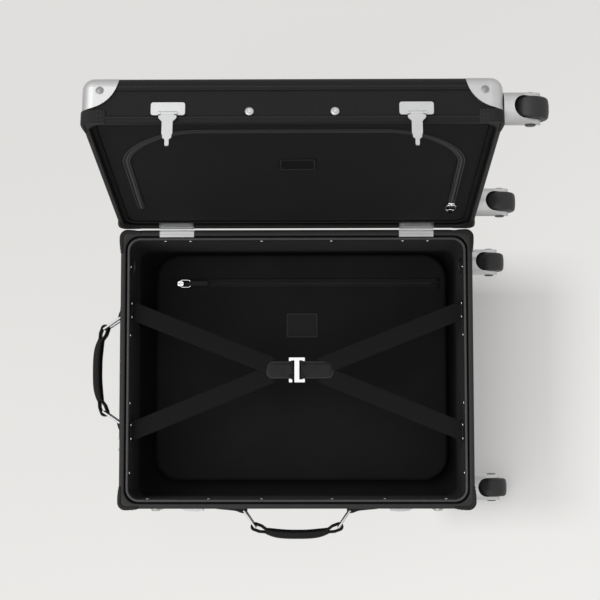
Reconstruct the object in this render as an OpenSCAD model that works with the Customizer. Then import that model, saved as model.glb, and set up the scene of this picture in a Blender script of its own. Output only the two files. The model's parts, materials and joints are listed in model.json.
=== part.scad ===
// Trunk-style rolling suitcase, lying on its back with the lid open.
// Origin on the floor under the middle of the base, +X towards the casters,
// +Y towards the hinges, +Z up. Millimetres.

/* [Case] */
// Length of the case body, along X
case_l = 492; // [440:1:560]
// Width of the case body, along Y
case_w = 386.5; // [340:0.5:440]
// Depth of the base half, floor to rim
base_depth = 150; // [140:1:190]
// Depth of the lid half, rim to outer panel
lid_depth = 59.7; // [54:0.1:80]
// Radius of the shell's outer edges and corners
edge_r = 12; // [8:0.5:16]
// Wall of the moulded shells
shell_t = 5; // [3:0.5:6]
// Angle that the lid stands open
lid_open = 100.8; // [90:0.2:110]
// Distance of the hinge axis outside the back wall
pivot_out = 2.2; // [2.2:0.1:4]
// Gap between the two rims when the lid is shut
rim_gap = 0.4; // [0.3:0.1:1]

/* [Leather] */
// Thickness of the leather bindings
binding_t = 1.2; // [0.8:0.1:2]
// Width of the rim binding's top face
rim_band = 7; // [6.6:0.1:8]
// Height of the rim binding on the outer wall
rim_skirt = 9; // [6:0.5:14]
// Width of the edge binding on each face
edge_band = 19; // [14:0.5:24]
// How far the leather rim corners stand proud
ear_t = 2.2; // [1.4:0.1:2.4]
// Length of a leather rim corner along X
ear_x = 26; // [20:1:34]
// Length of a leather rim corner along Y
ear_y = 32; // [20:1:38]
// Depth of a leather rim corner below the rim
ear_h = 25; // [18:1:30]

/* [Metal trim] */
// Radius of the corner caps' round outline
cap_r = 42.7; // [34:0.1:43]
// Thickness of the corner caps
cap_t = 1.6; // [1.4:0.1:2.4]
// How far the corner caps stand proud of the walls
cap_out = 1.6; // [0.4:0.1:2]
// Diameter of the round studs on the lid
stud_d = 10; // [6:0.5:14]
// Distance of each round stud from the middle
stud_x = 50; // [30:1:80]
// Depth of the studs below the lid's rim
stud_w = 14; // [12:0.5:20]

/* [Inside] */
// Width of the groove between binding and bead
groove = 2; // [1:0.1:3]
// Width of the rim bead
bead_w = 3.8; // [3:0.1:5]
// Thickness of the padded lining wall
lining_t = 7; // [6.8:0.1:9]
// Inner corner radius of the lining
lining_r = 16; // [10:1:24]
// Drop from the rim to the lining's top edge
lining_drop = 6; // [4:0.5:9]
// Gap between the lining's wall and the padded cover at the handle end
cover_gap_left = 26; // [14:0.5:50]
// Gap at the caster end
cover_gap_right = 14.5; // [14:0.5:50]
// Gap on the hinge side
cover_gap_back = 7; // [7:0.5:50]
// Gap on the front side
cover_gap_front = 23.5; // [7:0.5:50]
// Height of the cover above the lining's floor
cover_h = 26; // [25:0.5:34]
// Corner radius of the cover
cover_r = 35; // [15:1:60]
// Depth of the lid's divider below its rim
divider_w = 7; // [6.5:0.5:14]
// Diameter of the small rivets of the lining
rivet_d = 5.6; // [4:0.2:7]

/* [Straps] */
// Width of the webbing bands
strap_w = 25.5; // [20:0.5:30]
// Thickness of the webbing bands
strap_t = 1.6; // [1.2:0.1:2.4]
// Anchor of the back bands, from the middle
strap_back = 83; // [60:1:110]
// Anchor of the front bands, from the middle
strap_front = 87; // [60:1:110]
// Height of the clasp above the floor
clasp_z = 112; // [100:1:125]
// Height of the clasp, along Y
clasp_h = 35; // [33:0.5:42]
// Length of each leather tab
tab_l = 38; // [30:1:50]
// Width of each leather tab
tab_w = 25; // [20:0.5:26]

/* [Hinges and hasps] */
// Length of each hinge
hinge_l = 48; // [36:1:60]
// Distance of each hinge's middle from the case's middle
hinge_x = 167.7; // [140:0.1:185]
// Diameter of the hinge knuckles
knuckle_d = 4; // [3.6:0.1:4.2]
// Distance of each hasp from the middle
hasp_x = 145; // [110:0.5:170]
// Width of the hasp plates
hasp_plate_w = 40; // [30:0.5:50]
// Reach of a hasp from its hinge to its tip
hasp_l = 42; // [38:0.5:44]
// Angle that the hasps stand out of the wall
hasp_out = 4; // [0:1:60]

/* [Handles] */
// Distance of the handle rings' wall bars from the handle's middle
ring_x = 74; // [60:0.5:85]
// Length of a ring, bar to bar
ring_len = 27.5; // [24:0.5:30]
// Wire diameter of the rings
ring_d = 3.6; // [3:0.1:4.4]
// Lean of the rings from square to the wall
ring_lean = 34; // [30:1:45]
// Thickness of the leather grip
grip_t = 13; // [10:0.5:16]
// Height of the leather grip
grip_h = 22; // [18:0.5:26]
// Bow of the grip away from the wall
grip_bow = 4.5; // [2:0.5:9]
// Height of the carry handles above the floor
handle_z = 102; // [90:1:120]

/* [Trolley] */
// Distance between the two trolley tubes
trolley_span = 160; // [120:1:200]
// Width of a housing tube
tube_w = 22; // [20:0.5:26]
// Height of a housing tube
tube_h = 13; // [12:0.5:16]
// Height of the saddles that carry the housing tubes
saddle_h = 8.5; // [7:0.5:9]
// Wall of the trolley tubes
tube_t = 1.2; // [1:0.1:1.5]
// Sliding clearance between the tubes
tube_gap = 0.4; // [0.3:0.05:0.6]
// Travel of each of the two stages
stage = 225; // [160:1:240]
// Length of the trolley's grip
trolley_grip_l = 200; // [190:1:240]

/* [Casters] */
// Distance of the casters from the case's long sides
caster_in = 28.75; // [27:0.25:45]
// Offset of the caster row towards the hinges
caster_shift = -2.5; // [-3:0.5:3]
// Height of the casters from each outer panel
caster_h = 35; // [34:0.5:44]
// Depth of the lid's casters from the lid's rim
lid_caster_w = 28; // [24:0.5:30]
// Wheel diameter
wheel_d = 44; // [36:0.5:46]
// Wheel width
wheel_w = 26; // [20:0.5:28]
// Trail of the wheel behind its swivel
trail = 8; // [4:0.5:9]
// Diameter of the fork's hood
hood_d = 37; // [36:0.5:39]
// Radial clearance of the axles and kingpins
run_gap = 0.05; // [0.02:0.01:0.1]

/* [Hidden] */
$fn = 64;

black_leather = "#2b2a2b";
black_fabric = "#1c1c1d";
black_tyre = "#3a3a3b";
satin_silver = "#d6d7d8";

// Distances in from the case's outer face: binding, shell, groove, bead, lining.
shell_in = binding_t;
wall_in = binding_t + shell_t;
bead_in = rim_band + groove;
cavity_in = wall_in + lining_t;
rim_half = rim_gap / 2;
floor_t = shell_t;
lining_floor_t = 2;
base_floor = cap_t + floor_t + lining_floor_t;
cover_top = base_floor + cover_h;
pivot_y = case_w / 2 + pivot_out;
left_end = -case_l / 2;
right_end = case_l / 2;
front = -case_w / 2;
caster_y = case_w / 2 - caster_in;
cover_x0 = left_end + cavity_in + cover_gap_left;
cover_x1 = right_end - cavity_in - cover_gap_right;
cover_y0 = front + cavity_in + cover_gap_front;
cover_y1 = -front - cavity_in - cover_gap_back;

// Rounded rectangle with true arcs, centred.
module rrect(l, w, r) {
  square([l - 2 * r, w], center = true);
  square([l, w - 2 * r], center = true);
  for (x = [-1, 1], y = [-1, 1])
    translate([x * (l / 2 - r), y * (w / 2 - r)]) circle(r = r);
}

// Upright block with rounded corners, a given distance in from the case's outline.
module block(inset, low, high, r) {
  translate([0, 0, low]) linear_extrude(high - low)
    rrect(case_l - 2 * inset, case_w - 2 * inset, r);
}

// Solid dish: every lower edge and corner rounded by r, cut flat at the top.
module dish(inset, low, high, r) {
  dx = case_l / 2 - inset - r;
  dy = case_w / 2 - inset - r;
  block(inset, low + r, high, r);
  translate([-dx, -dy, low]) cube([2 * dx, 2 * dy, r + 1]);
  for (y = [-dy, dy]) translate([-dx, y, low + r]) rotate([0, 90, 0]) cylinder(r = r, h = 2 * dx);
  for (x = [-dx, dx]) translate([x, -dy, low + r]) rotate([-90, 0, 0]) cylinder(r = r, h = 2 * dy);
  for (x = [-dx, dx], y = [-dy, dy]) translate([x, y, low + r]) sphere(r = r);
}

// The same with the roundness that keeps it parallel to the case's outline.
module tub(inset, low, high) {
  dish(inset, low, high, edge_r + binding_t - inset);
}

// The four lower corners of a half, as balls that bound the metal caps.
module corner_balls(extra) {
  for (x = [-1, 1], y = [-1, 1])
    translate([x * case_l / 2, y * case_w / 2, 0]) sphere(r = cap_r + extra);
}

// Both hinges' places along the rim, and the mid knuckle's third of a hinge.
module at_hinges() {
  for (s = [-1, 1]) translate([s * hinge_x, 0, 0]) children();
}

// Room for a hinge leaf in the rim binding of a half of depth h.
leaf_t = 1.2;
leaf_reach = 8.6;
module leaf_pockets(h, grow) {
  at_hinges() translate([-hinge_l / 2 - grow, case_w / 2 - leaf_reach - grow, h - leaf_t - rim_half - 0.01])
    cube([hinge_l + 2 * grow, leaf_reach + 10, 6]);
}

// Round seats of the two casters on the right end wall.
plate_d = hood_d + 1;
plate_t = 1.8;
module caster_seats(h, grow) {
  for (y = [-1, 1]) translate([right_end - binding_t - 6, y * caster_y + caster_shift, h]) rotate([0, 90, 0])
    cylinder(d = plate_d + 2 * grow, h = 20);
}

// Half of the case, outer panel down on the floor, rim at height h.
module half_shell(h) {
  difference() {
    tub(shell_in, cap_t, h - rim_half - binding_t);
    block(wall_in, cap_t + floor_t, h + 1, lining_r - 3);
  }
}

module half_rim_binding(h) {
  difference() {
    block(0, h - rim_skirt, h - rim_half, edge_r + binding_t);
    block(shell_in, h - rim_skirt - 1, h - rim_half - binding_t, edge_r);
    block(rim_band, h - rim_skirt - 1, h + 1, lining_r + 3);
    leaf_pockets(h, 0);
    at_hinges() translate([-hinge_l / 2, case_w / 2 - 2, h - 5]) cube([hinge_l, 10, 10]);
  }
  difference() {
    block(wall_in, h - lining_drop, h - rim_half - binding_t, lining_r - 3);
    block(rim_band, h - lining_drop - 1, h + 1, lining_r + 3);
    leaf_pockets(h, 0);
  }
}

module half_edge_binding(seat_h) {
  difference() {
    tub(0, cap_t - binding_t, base_depth);
    tub(shell_in, cap_t, 2 * base_depth);
    block(edge_band, -1, cap_t + 1, edge_r);
    translate([-case_l, -case_w, edge_band]) cube([2 * case_l, 2 * case_w, 2 * base_depth]);
    corner_balls(0);
    caster_seats(seat_h, 0);
    children();
  }
}

cap_rivet_in = 20.5;
cap_rivet_z = 19.3;
cap_rivet_d = 8;
module half_corner_caps(h, seat_h) {
  for (x = [-1, 1], y = [0, 1]) mirror([0, y, 0])
    translate([x * (case_l / 2 - cap_rivet_in), front + 1 - cap_out, cap_rivet_z]) rotate([90, 0, 0]) {
      cylinder(d = cap_rivet_d, h = 1.5);
      translate([0, 0, 1.5]) cylinder(d1 = cap_rivet_d, d2 = cap_rivet_d * 0.6, h = 0.7);
    }
  difference() {
    intersection() {
      tub(-cap_out, 0, h - rim_skirt);
      corner_balls(0);
    }
    tub(shell_in, cap_t, h);
    caster_seats(seat_h, 0);
  }
}

// Plan of a leather rim corner: the outline pushed out by ear_t, tapering at both ends.
module ear_plan() {
  r = edge_r + binding_t + ear_t;
  difference() {
    intersection() {
      translate([-case_l / 2 - ear_t, -case_w / 2 - ear_t]) union() {
        translate([r, r]) circle(r = r);
        translate([r, 0]) square([case_l, case_w]);
        translate([0, r]) square([case_l, case_w]);
      }
      translate([-case_l / 2, -case_w / 2]) polygon([
        [-ear_t, -ear_t], [ear_x - 9, -ear_t], [ear_x, 0], [ear_x, 1],
        [1, ear_y], [0, ear_y], [-ear_t, ear_y - 9]
      ]);
    }
    rrect(case_l, case_w, edge_r + binding_t);
  }
}

module half_rim_corners(h) {
  drop = min(ear_h, h - cap_r - 0.3);
  for (x = [0, 1], y = [0, 1]) mirror([x, 0, 0]) mirror([0, y, 0])
    translate([0, 0, h - drop]) linear_extrude(drop - rim_half) ear_plan();
  difference() {
    block(0, h - drop, h - rim_skirt, edge_r + binding_t);
    block(shell_in, h - drop - 1, h, edge_r);
    translate([-case_l / 2 + ear_x, -case_w, h - drop - 1]) cube([case_l - 2 * ear_x, 2 * case_w, drop + 2]);
    translate([-case_l, -case_w / 2 + ear_y, h - drop - 1]) cube([2 * case_l, case_w - 2 * ear_y, drop + 2]);
  }
}

// Lining tray of a half of depth h: floor, padded walls, seat of the bead.
module half_lining(h) {
  difference() {
    block(wall_in, cap_t + floor_t, h - lining_drop, lining_r - 3);
    dish(cavity_in, cap_t + floor_t + lining_floor_t, h, lining_r);
  }
}

// Puts something drawn as a half with its panel down into the open lid's place.
module lid_place() {
  translate([0, pivot_y, base_depth]) rotate([-lid_open, 0, 0])
    translate([0, -pivot_y, lid_depth]) mirror([0, 0, 1]) children();
}

// Place in the world of a point of the lid, given by y and its depth from the rim.
function lid_point(y, w) = [
  pivot_y + (y - pivot_y) * cos(lid_open) + w * sin(lid_open),
  base_depth - (y - pivot_y) * sin(lid_open) + w * cos(lid_open)
];

// Cross-section of the trolley's tubes as a hole through the left end wall.
tube_z = base_floor + saddle_h + tube_h / 2;
module tube_bars(w, h, x0, x1) {
  for (s = [-1, 1])
    translate([x0, s * trolley_span / 2 - w / 2, tube_z - h / 2]) cube([x1 - x0, w, h]);
}

// Round bar from point a to point b.
module bar(a, b, d) {
  v = b - a;
  translate(a) rotate([0, acos(v.z / norm(v)), atan2(v.y, v.x)]) cylinder(d = d, h = norm(v));
}

bezel_l = trolley_grip_l + 22;
bezel_low = cap_t + edge_r;
bezel_high = 2 * tube_z - bezel_low;
bezel_out = 1.6;
grip_gap = 0.3;
module bezel_box(grow) {
  translate([left_end - bezel_out, -bezel_l / 2 - grow, bezel_low - grow])
    cube([bezel_out + shell_in, bezel_l + 2 * grow, bezel_high - bezel_low + 2 * grow]);
}

// Base shell, with the covered panel on its underside that the case rests on.
module base_shell() {
  color(black_leather) {
    difference() {
      half_shell(base_depth);
      tube_bars(tube_w, tube_h, left_end - 1, left_end + wall_in + 1);
    }
    difference() {
      block(edge_band + 0.3, 0, cap_t, edge_r);
      corner_balls(0.3);
    }
  }
}

module base_lining() {
  color(black_fabric) difference() {
    half_lining(base_depth);
    tube_bars(tube_w, tube_h, left_end, left_end + cavity_in + lining_r);
  }
}

module base_rim_binding() {
  color(black_leather) half_rim_binding(base_depth);
}

bead_h = lining_drop - 1;
module base_rim_bead() {
  color("#4a4a4b") difference() {
    block(bead_in, base_depth - lining_drop, base_depth - lining_drop + bead_h, lining_r + 3.5);
    block(bead_in + bead_w, base_depth - lining_drop - 1, base_depth, lining_r);
  }
}

module base_edge_binding() {
  color(black_leather) half_edge_binding(caster_h) bezel_box(0);
}

module base_corner_caps() {
  color(satin_silver) half_corner_caps(base_depth, caster_h);
}

module base_rim_corners() {
  color(black_leather) half_rim_corners(base_depth);
}

// Small domed rivets round the lining, and the anchors that pin the strap ends.
rivet_h = 1.2;
rivet_z = base_depth - lining_drop - rivet_d / 2 - 1.4;
rivet_end = case_l / 2 - cavity_in - 25.8;
rivet_side = case_w / 2 - cavity_in - 36;
back_rivets = [for (s = [-1, 1], x = [hinge_x + 16.5, hinge_x - 18.5, 49]) s * x];
front_rivets = [for (s = [-1, 1], x = [rivet_end, rivet_end - 85, 49]) s * x];
end_rivets = [-rivet_side, -47, 48, rivet_side];
module rivet() {
  cylinder(d = rivet_d, h = rivet_h * 0.4);
  translate([0, 0, rivet_h * 0.4]) cylinder(d1 = rivet_d, d2 = rivet_d * 0.6, h = rivet_h * 0.6);
}
module base_rivets() {
  wall_x = case_l / 2 - cavity_in;
  wall_y = case_w / 2 - cavity_in;
  color(satin_silver) {
    for (x = back_rivets) translate([x, wall_y, rivet_z]) rotate([90, 0, 0]) rivet();
    for (x = front_rivets) translate([x, -wall_y, rivet_z]) rotate([-90, 0, 0]) rivet();
    for (y = end_rivets, s = [0, 1]) mirror([s, 0, 0])
      translate([wall_x, y, rivet_z]) rotate([0, -90, 0]) rivet();
    for (y = [strap_back, -strap_front], o = [-9.5, 9.5], s = [0, 1]) mirror([s, 0, 0])
      translate([wall_x - strap_t, y + o, rivet_z]) rotate([0, -90, 0]) rivet();
  }
}

// Padded cover over the trolley tubes: an open-bottomed box with a crowned edge.
cover_t = 3;
module cover_block(inset, low, high) {
  translate([(cover_x0 + cover_x1) / 2, (cover_y0 + cover_y1) / 2, low]) linear_extrude(high - low)
    rrect(cover_x1 - cover_x0 - 2 * inset, cover_y1 - cover_y0 - 2 * inset, cover_r - inset);
}
cover_foot_in = 10;
cover_foot_h = 7;
module trolley_cover() {
  color(black_fabric) difference() {
    union() {
      cover_block(cover_foot_in, base_floor, base_floor + cover_foot_h + 1);
      cover_block(0, base_floor + cover_foot_h, cover_top - 5);
      cover_block(1.2, cover_top - 5, cover_top - 2.4);
      cover_block(3.4, cover_top - 2.4, cover_top);
    }
    cover_block(cover_foot_in + cover_t, base_floor - 1, base_floor + cover_foot_h + cover_t + 1);
    cover_block(cover_t + 3.4, base_floor + cover_foot_h + cover_t, cover_top - cover_t);
    tube_bars(tube_w + 0.6, tube_h + 0.3, left_end, tube_x1 - 16);
  }
}

// Zip of the cover's pocket: tape and the row of teeth on it.
zip_y = cover_y1 - 42.5;
zip_x0 = cover_x0 + 25;
zip_x1 = cover_x1 - 10;
tape_w = 14;
tape_t = 0.6;
teeth_w = 4.4;
teeth_t = 1.1;
module pocket_zip() {
  color(black_fabric) translate([zip_x0, zip_y, cover_top]) {
    translate([0, -tape_w / 2, 0]) cube([zip_x1 - zip_x0, tape_w, tape_t]);
    translate([2, -teeth_w / 2, 0]) cube([zip_x1 - zip_x0 - 4, teeth_w, tape_t + teeth_t]);
  }
}

slider_l = 9;
slider_w = 8;
pull_l = 31;
pull_w = 7;
module pocket_slider() {
  z = cover_top + tape_t + teeth_t + 0.2;
  color(satin_silver) translate([zip_x0 + 6, zip_y, z]) {
    translate([0, -slider_w / 2, 0]) cube([slider_l, slider_w, 1.6]);
    for (s = [-1, 1]) translate([0, s * (slider_w / 2 - 0.5) - 0.5, -1.2]) cube([slider_l, 1, 1.3]);
    translate([2, -1.2, 1.5]) cube([5, 2.4, 1.6]);
    translate([0, 0, 3]) linear_extrude(1) difference() {
      union() {
        translate([3, 0]) circle(d = 7);
        translate([3, -3.5]) square([14, 7]);
      }
      translate([8, -2]) square([4, 4]);
    }
  }
  color(black_leather) translate([zip_x0 + 20, zip_y, z + 3.9]) linear_extrude(1.6) {
    translate([0, -pull_w / 2]) square([pull_l - pull_w / 2, pull_w]);
    translate([pull_l - pull_w / 2, 0]) circle(d = pull_w);
  }
}

tube_x1 = right_end - 44;
saddle_x = [-150, 120];
saddle_l = 24;
module housing_tubes() {
  color("#9a9c9e") {
    difference() {
      tube_bars(tube_w, tube_h, left_end + shell_in, tube_x1);
      tube_bars(tube_w - 2 * tube_t, tube_h - 2 * tube_t, left_end - 1, tube_x1 - 3);
    }
    for (x = saddle_x, s = [-1, 1]) translate([x, s * trolley_span / 2 - tube_w / 2, base_floor])
      cube([saddle_l, tube_w, saddle_h]);
  }
}

// Each inner stage is smaller by the wall and the sliding clearance.
step = 2 * (tube_t + tube_gap);
mid_w = tube_w - step;
mid_h = tube_h - step;
in_w = mid_w - step;
in_h = mid_h - step;
mid_x0 = left_end + 1;
module middle_tubes() {
  color(satin_silver) difference() {
    tube_bars(mid_w, mid_h, mid_x0, tube_x1 - 6);
    tube_bars(mid_w - 2 * tube_t, mid_h - 2 * tube_t, mid_x0 - 1, tube_x1 - 9);
  }
}

grip_x1 = left_end - bezel_out - grip_gap;
trolley_grip_t = 13;
trolley_grip_h = 18;
module inner_tubes() {
  color(satin_silver) tube_bars(in_w, in_h, grip_x1, tube_x1 - 14);
}

module trolley_bezel() {
  color(black_leather) difference() {
    bezel_box(0);
    tube_bars(mid_w + 0.8, mid_h + 0.8, left_end - 5, left_end + 5);
  }
}

// Trolley grip: rounded bar with a pocket for the push button.
button_l = 30;
button_h = 10;
button_depth = 7;
module trolley_grip() {
  r = trolley_grip_h / 2;
  color(black_leather) difference() {
    union() {
      translate([grip_x1 - trolley_grip_t, -trolley_grip_l / 2 + r, tube_z - r])
        cube([trolley_grip_t, trolley_grip_l - 2 * r, 2 * r]);
      for (s = [-1, 1]) translate([grip_x1 - trolley_grip_t, s * (trolley_grip_l / 2 - r), tube_z])
        rotate([0, 90, 0]) cylinder(r = r, h = trolley_grip_t);
    }
    translate([grip_x1 - trolley_grip_t - 1, -button_l / 2 - 0.3, tube_z - button_h / 2 - 0.3])
      cube([button_depth + 1, button_l + 0.6, button_h + 0.6]);
    translate([grip_x1 - 4, -trolley_span / 2 + tube_w, tube_z - r - 1])
      cube([5, trolley_span - 2 * tube_w, 2 * r + 2]);
    tube_bars(in_w, in_h, grip_x1 - 0.01, grip_x1 + 1);
  }
}

button_travel = 3;
module trolley_button() {
  color(satin_silver) translate([grip_x1 - trolley_grip_t - 0.6, -button_l / 2, tube_z - button_h / 2])
    cube([button_depth + 0.6 - button_travel - 0.4, button_l, button_h]);
}

// Webbing bands: a flat end pinned to the end wall, then a straight run to the tab.
tab_x = 6;
tab_t = 5.6;
tab_end = tab_x + tab_l;
strap_wall = case_l / 2 - cavity_in;
strap_top = rivet_z + rivet_d / 2 + 1;
strap_end_h = 15;
strap_low = strap_top - strap_end_h;
strap_join_y = 5;
module band(anchor_y) {
  a = [strap_wall - strap_t / 2, anchor_y, strap_low + strap_t / 2];
  b = [tab_end - 6, sign(anchor_y) * strap_join_y, clasp_z];
  v = a - b;
  yaw = atan2(v.y, v.x);
  pitch = atan2(v.z, norm([v.x, v.y]));
  translate([strap_wall - strap_t, anchor_y - strap_w / 2, strap_low])
    cube([strap_t, strap_w, strap_end_h]);
  intersection() {
    translate(b) rotate([0, -pitch, yaw])
      translate([0, -strap_w / 2, -strap_t / 2]) cube([norm(v) + 12, strap_w, strap_t]);
    translate([0, -case_w, 0]) cube([strap_wall, 2 * case_w, base_depth]);
  }
}
module tab_plan() {
  r = tab_w / 2;
  translate([tab_x, -r]) square([tab_l - r, tab_w]);
  translate([tab_end - r, 0]) circle(r = r);
}
module strap_bands() {
  color("#171718") for (s = [0, 1]) mirror([s, 0, 0]) difference() {
    union() {
      band(strap_back);
      band(-strap_front);
    }
    translate([0, 0, clasp_z - tab_t / 2]) linear_extrude(tab_t) tab_plan();
  }
}

// Leather tabs, folded round the clasp's outer bars.
hook_t = 3;
hook_bar = 3;
hook_arm = 4;
bar_x = tab_x + 2.2;
module strap_tabs() {
  color(black_leather) for (s = [0, 1]) mirror([s, 0, 0]) difference() {
    translate([0, 0, clasp_z - tab_t / 2]) linear_extrude(tab_t) tab_plan();
    translate([bar_x - 0.2, -tab_w, clasp_z - hook_t / 2 - 0.2])
      cube([hook_bar + 0.4, 2 * tab_w, hook_t + 0.4]);
  }
}

// Hook clasp: middle bar, a closed loop to the right and an open hook to the left.
module strap_hook() {
  half = clasp_h / 2;
  out = bar_x + hook_bar;
  color("#eceded") translate([0, 0, clasp_z - hook_t / 2]) linear_extrude(hook_t) {
    translate([-3.4, -half]) square([6.8, clasp_h]);
    for (y = [-half, half - hook_arm]) translate([0, y]) square([out, hook_arm]);
    translate([bar_x, -half]) square([hook_bar, clasp_h]);
    translate([-out, half - hook_arm]) square([out, hook_arm]);
    translate([-out, -half]) square([hook_bar, clasp_h]);
    translate([-out, -half]) square([out - 6.5, hook_arm]);
  }
}

// Places of the two carry handles: drawn along +X with the wall at y = 0 and
// the room outside towards -Y.
bar_off = 4.2;
module at_front() {
  translate([0, front, handle_z]) children();
}
module at_end() {
  translate([left_end, 0, handle_z]) rotate([0, 0, -90]) children();
}

// Leather chape: a pad on the wall that wraps the ring's wall bar.
chape_h = 22;
module chape() {
  translate([0, 0, -chape_h / 2]) linear_extrude(chape_h) difference() {
    union() {
      polygon([
        [ring_x, -bar_off - 3.9], [ring_x + 12, -4.6], [ring_x + 38, -2],
        [ring_x + 42, 0], [ring_x + 42, shell_in], [ring_x - 3.9, shell_in], [ring_x - 3.9, -bar_off],
        [ring_x, -bar_off]
      ]);
      translate([ring_x, -bar_off]) circle(r = 3.9);
    }
    translate([ring_x, -bar_off]) circle(d = ring_d + 0.3);
  }
}
module chape_pair() {
  for (s = [0, 1]) mirror([s, 0, 0]) chape();
}
module handle_chapes() {
  color(black_leather) {
    at_front() chape_pair();
    at_end() chape_pair();
  }
}

// Rectangular ring between the wall bar and the grip's bar, leaning inwards.
ring_half_z = chape_h / 2 + 0.5 + ring_d / 2;
module ring() {
  translate([ring_x, -bar_off, 0]) rotate([0, 0, -90 - ring_lean]) {
    for (x = [0, ring_len]) bar([x, 0, -ring_half_z], [x, 0, ring_half_z], ring_d);
    for (z = [-1, 1]) bar([0, 0, z * ring_half_z], [ring_len, 0, z * ring_half_z], ring_d);
    for (x = [0, ring_len], z = [-1, 1]) translate([x, 0, z * ring_half_z]) sphere(d = ring_d);
  }
}

// Leather grip: a bowed padded bar whose ends are eyes round the rings' bars.
grip_x = ring_x - ring_len * sin(ring_lean);
grip_y = -bar_off - ring_len * cos(ring_lean);
eye_l = 16.5;
eye_lean = 20;
eye_r = ring_d / 2 + 0.9;
eye_wall = 2;
eye_h = 2 * (ring_half_z - ring_d / 2 - 0.6);
module eye() {
  x1 = ring_d / 2 + 1.6 - eye_r;
  x0 = x1 - eye_l + 2 * eye_r;
  translate([grip_x, grip_y, -eye_h / 2]) rotate([0, 0, eye_lean]) linear_extrude(eye_h) difference() {
    union() {
      translate([x1, 0]) circle(r = eye_r + eye_wall);
      translate([x0 - 12, -eye_r - eye_wall]) square([x1 - x0 + 12, 2 * (eye_r + eye_wall)]);
    }
    translate([x1, 0]) circle(r = eye_r);
    translate([x0, 0]) circle(r = eye_r);
    translate([x0, -eye_r]) square([x1 - x0, 2 * eye_r]);
  }
}
module grip() {
  chord = grip_x - eye_l * cos(eye_lean);
  rad = (chord * chord + grip_bow * grip_bow) / (2 * grip_bow);
  half = asin(chord / rad);
  translate([0, grip_y - eye_l * sin(eye_lean) - grip_bow + rad, 0]) rotate([0, 0, -90 - half])
    rotate_extrude(angle = 2 * half, $fn = 180) translate([rad, 0]) {
      square([grip_t, grip_h - grip_t], center = true);
      for (s = [-1, 1]) translate([0, s * (grip_h - grip_t) / 2]) circle(d = grip_t);
    }
  for (s = [0, 1]) mirror([s, 0, 0]) eye();
}
module front_ring_left() { color(satin_silver) at_front() mirror([1, 0, 0]) ring(); }
module front_ring_right() { color(satin_silver) at_front() ring(); }
module front_grip() { color(black_leather) at_front() grip(); }
module end_ring_left() { color(satin_silver) at_end() mirror([1, 0, 0]) ring(); }
module end_ring_right() { color(satin_silver) at_end() ring(); }
module end_grip() { color(black_leather) at_end() grip(); }

// Round feet on the front wall, for standing the case on its long side.
foot_x = case_l / 2 - 48;
foot_d = 14;
foot_low = 60;
foot_high = base_depth - 38;
// Small studs in pairs on the handle end, and their place along Y.
end_stud_y = [12, -3.5, -96.5, -112];
end_stud_d = 4.5;
end_stud_out = 3.6;
end_stud_z = base_depth - 22;
module side_feet() {
  color(satin_silver) for (s = [-1, 1], z = [foot_low, foot_high])
    translate([s * foot_x, front + shell_in, z]) rotate([90, 0, 0]) {
      cylinder(d = foot_d, h = shell_in + 2.5);
      translate([0, 0, shell_in + 2.5]) cylinder(d1 = foot_d, d2 = foot_d - 4, h = 2);
    }
  color(satin_silver) for (y = end_stud_y) translate([left_end + shell_in, y, end_stud_z]) rotate([0, -90, 0]) {
    cylinder(d = end_stud_d, h = shell_in + end_stud_out - 1);
    translate([0, 0, shell_in + end_stud_out - 1]) cylinder(d1 = end_stud_d, d2 = end_stud_d - 1.6, h = 1);
  }
}

// A hasp's pin: distance from the rim and out of the wall.
hasp_pin_w = rim_skirt + 1.4;
hasp_pin_out = 4;

// Latch catches on the base's front wall, under the hasps.
catch_w = 30;
catch_top = base_depth - 12;
catch_h = 46;
catch_t = 1.6;
box_drop = hasp_l - hasp_pin_w + 6;
box_h = 18;
box_t = 4.6;
push_w = 14;
push_h = 10;
push_travel = 2.5;
catch_z = base_depth - box_drop - box_h / 2;
module latch_catches() {
  color(satin_silver) for (s = [-1, 1]) translate([s * hasp_x, front, 0]) difference() {
    union() {
      translate([-catch_w / 2, -catch_t, catch_top - catch_h]) cube([catch_w, catch_t + shell_in, catch_h]);
      translate([-catch_w / 2 + 2, -box_t, catch_z - box_h / 2]) cube([catch_w - 4, box_t, box_h]);
    }
    translate([-push_w / 2 - 0.3, -box_t - 1, catch_z - push_h / 2 - 0.3])
      cube([push_w + 0.6, box_t + 0.6, push_h + 0.6]);
    translate([-catch_w, -catch_t - 1, base_depth - rim_skirt]) cube([2 * catch_w, catch_t + shell_in + 2, 20]);
  }
}
module latch_button(s) {
  color("#bfc1c3") translate([s * hasp_x, front, catch_z]) translate([-push_w / 2, -box_t - 0.8, -push_h / 2])
    cube([push_w, box_t + 0.8 - push_travel - 0.7, push_h]);
}
module latch_button_left() { latch_button(-1); }
module latch_button_right() { latch_button(1); }

// Hinges: three knuckles, the middle one on the lid, and a pin fixed in the base's two.
knuckle_l = hinge_l / 3;
pin_d = 2.2;
module knuckle(x0, x1) {
  translate([x0, pivot_y, base_depth]) rotate([0, 90, 0]) cylinder(d = knuckle_d, h = x1 - x0);
}
module base_leaf_strip(x0, x1, to_y) {
  translate([x0, case_w / 2 - leaf_reach, base_depth - rim_half - leaf_t])
    cube([x1 - x0, to_y - case_w / 2 + leaf_reach, leaf_t]);
}
module hinge_base_leaves() {
  h = hinge_l / 2;
  k = knuckle_l / 2;
  color(satin_silver) at_hinges() {
    base_leaf_strip(-h, h, case_w / 2 - 0.4);
    for (s = [0, 1]) mirror([s, 0, 0]) {
      base_leaf_strip(k + 0.2, h, pivot_y);
      knuckle(k + 0.2, h);
    }
    translate([-h, pivot_y, base_depth]) rotate([0, 90, 0]) cylinder(d = pin_d, h = hinge_l);
  }
}
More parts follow.
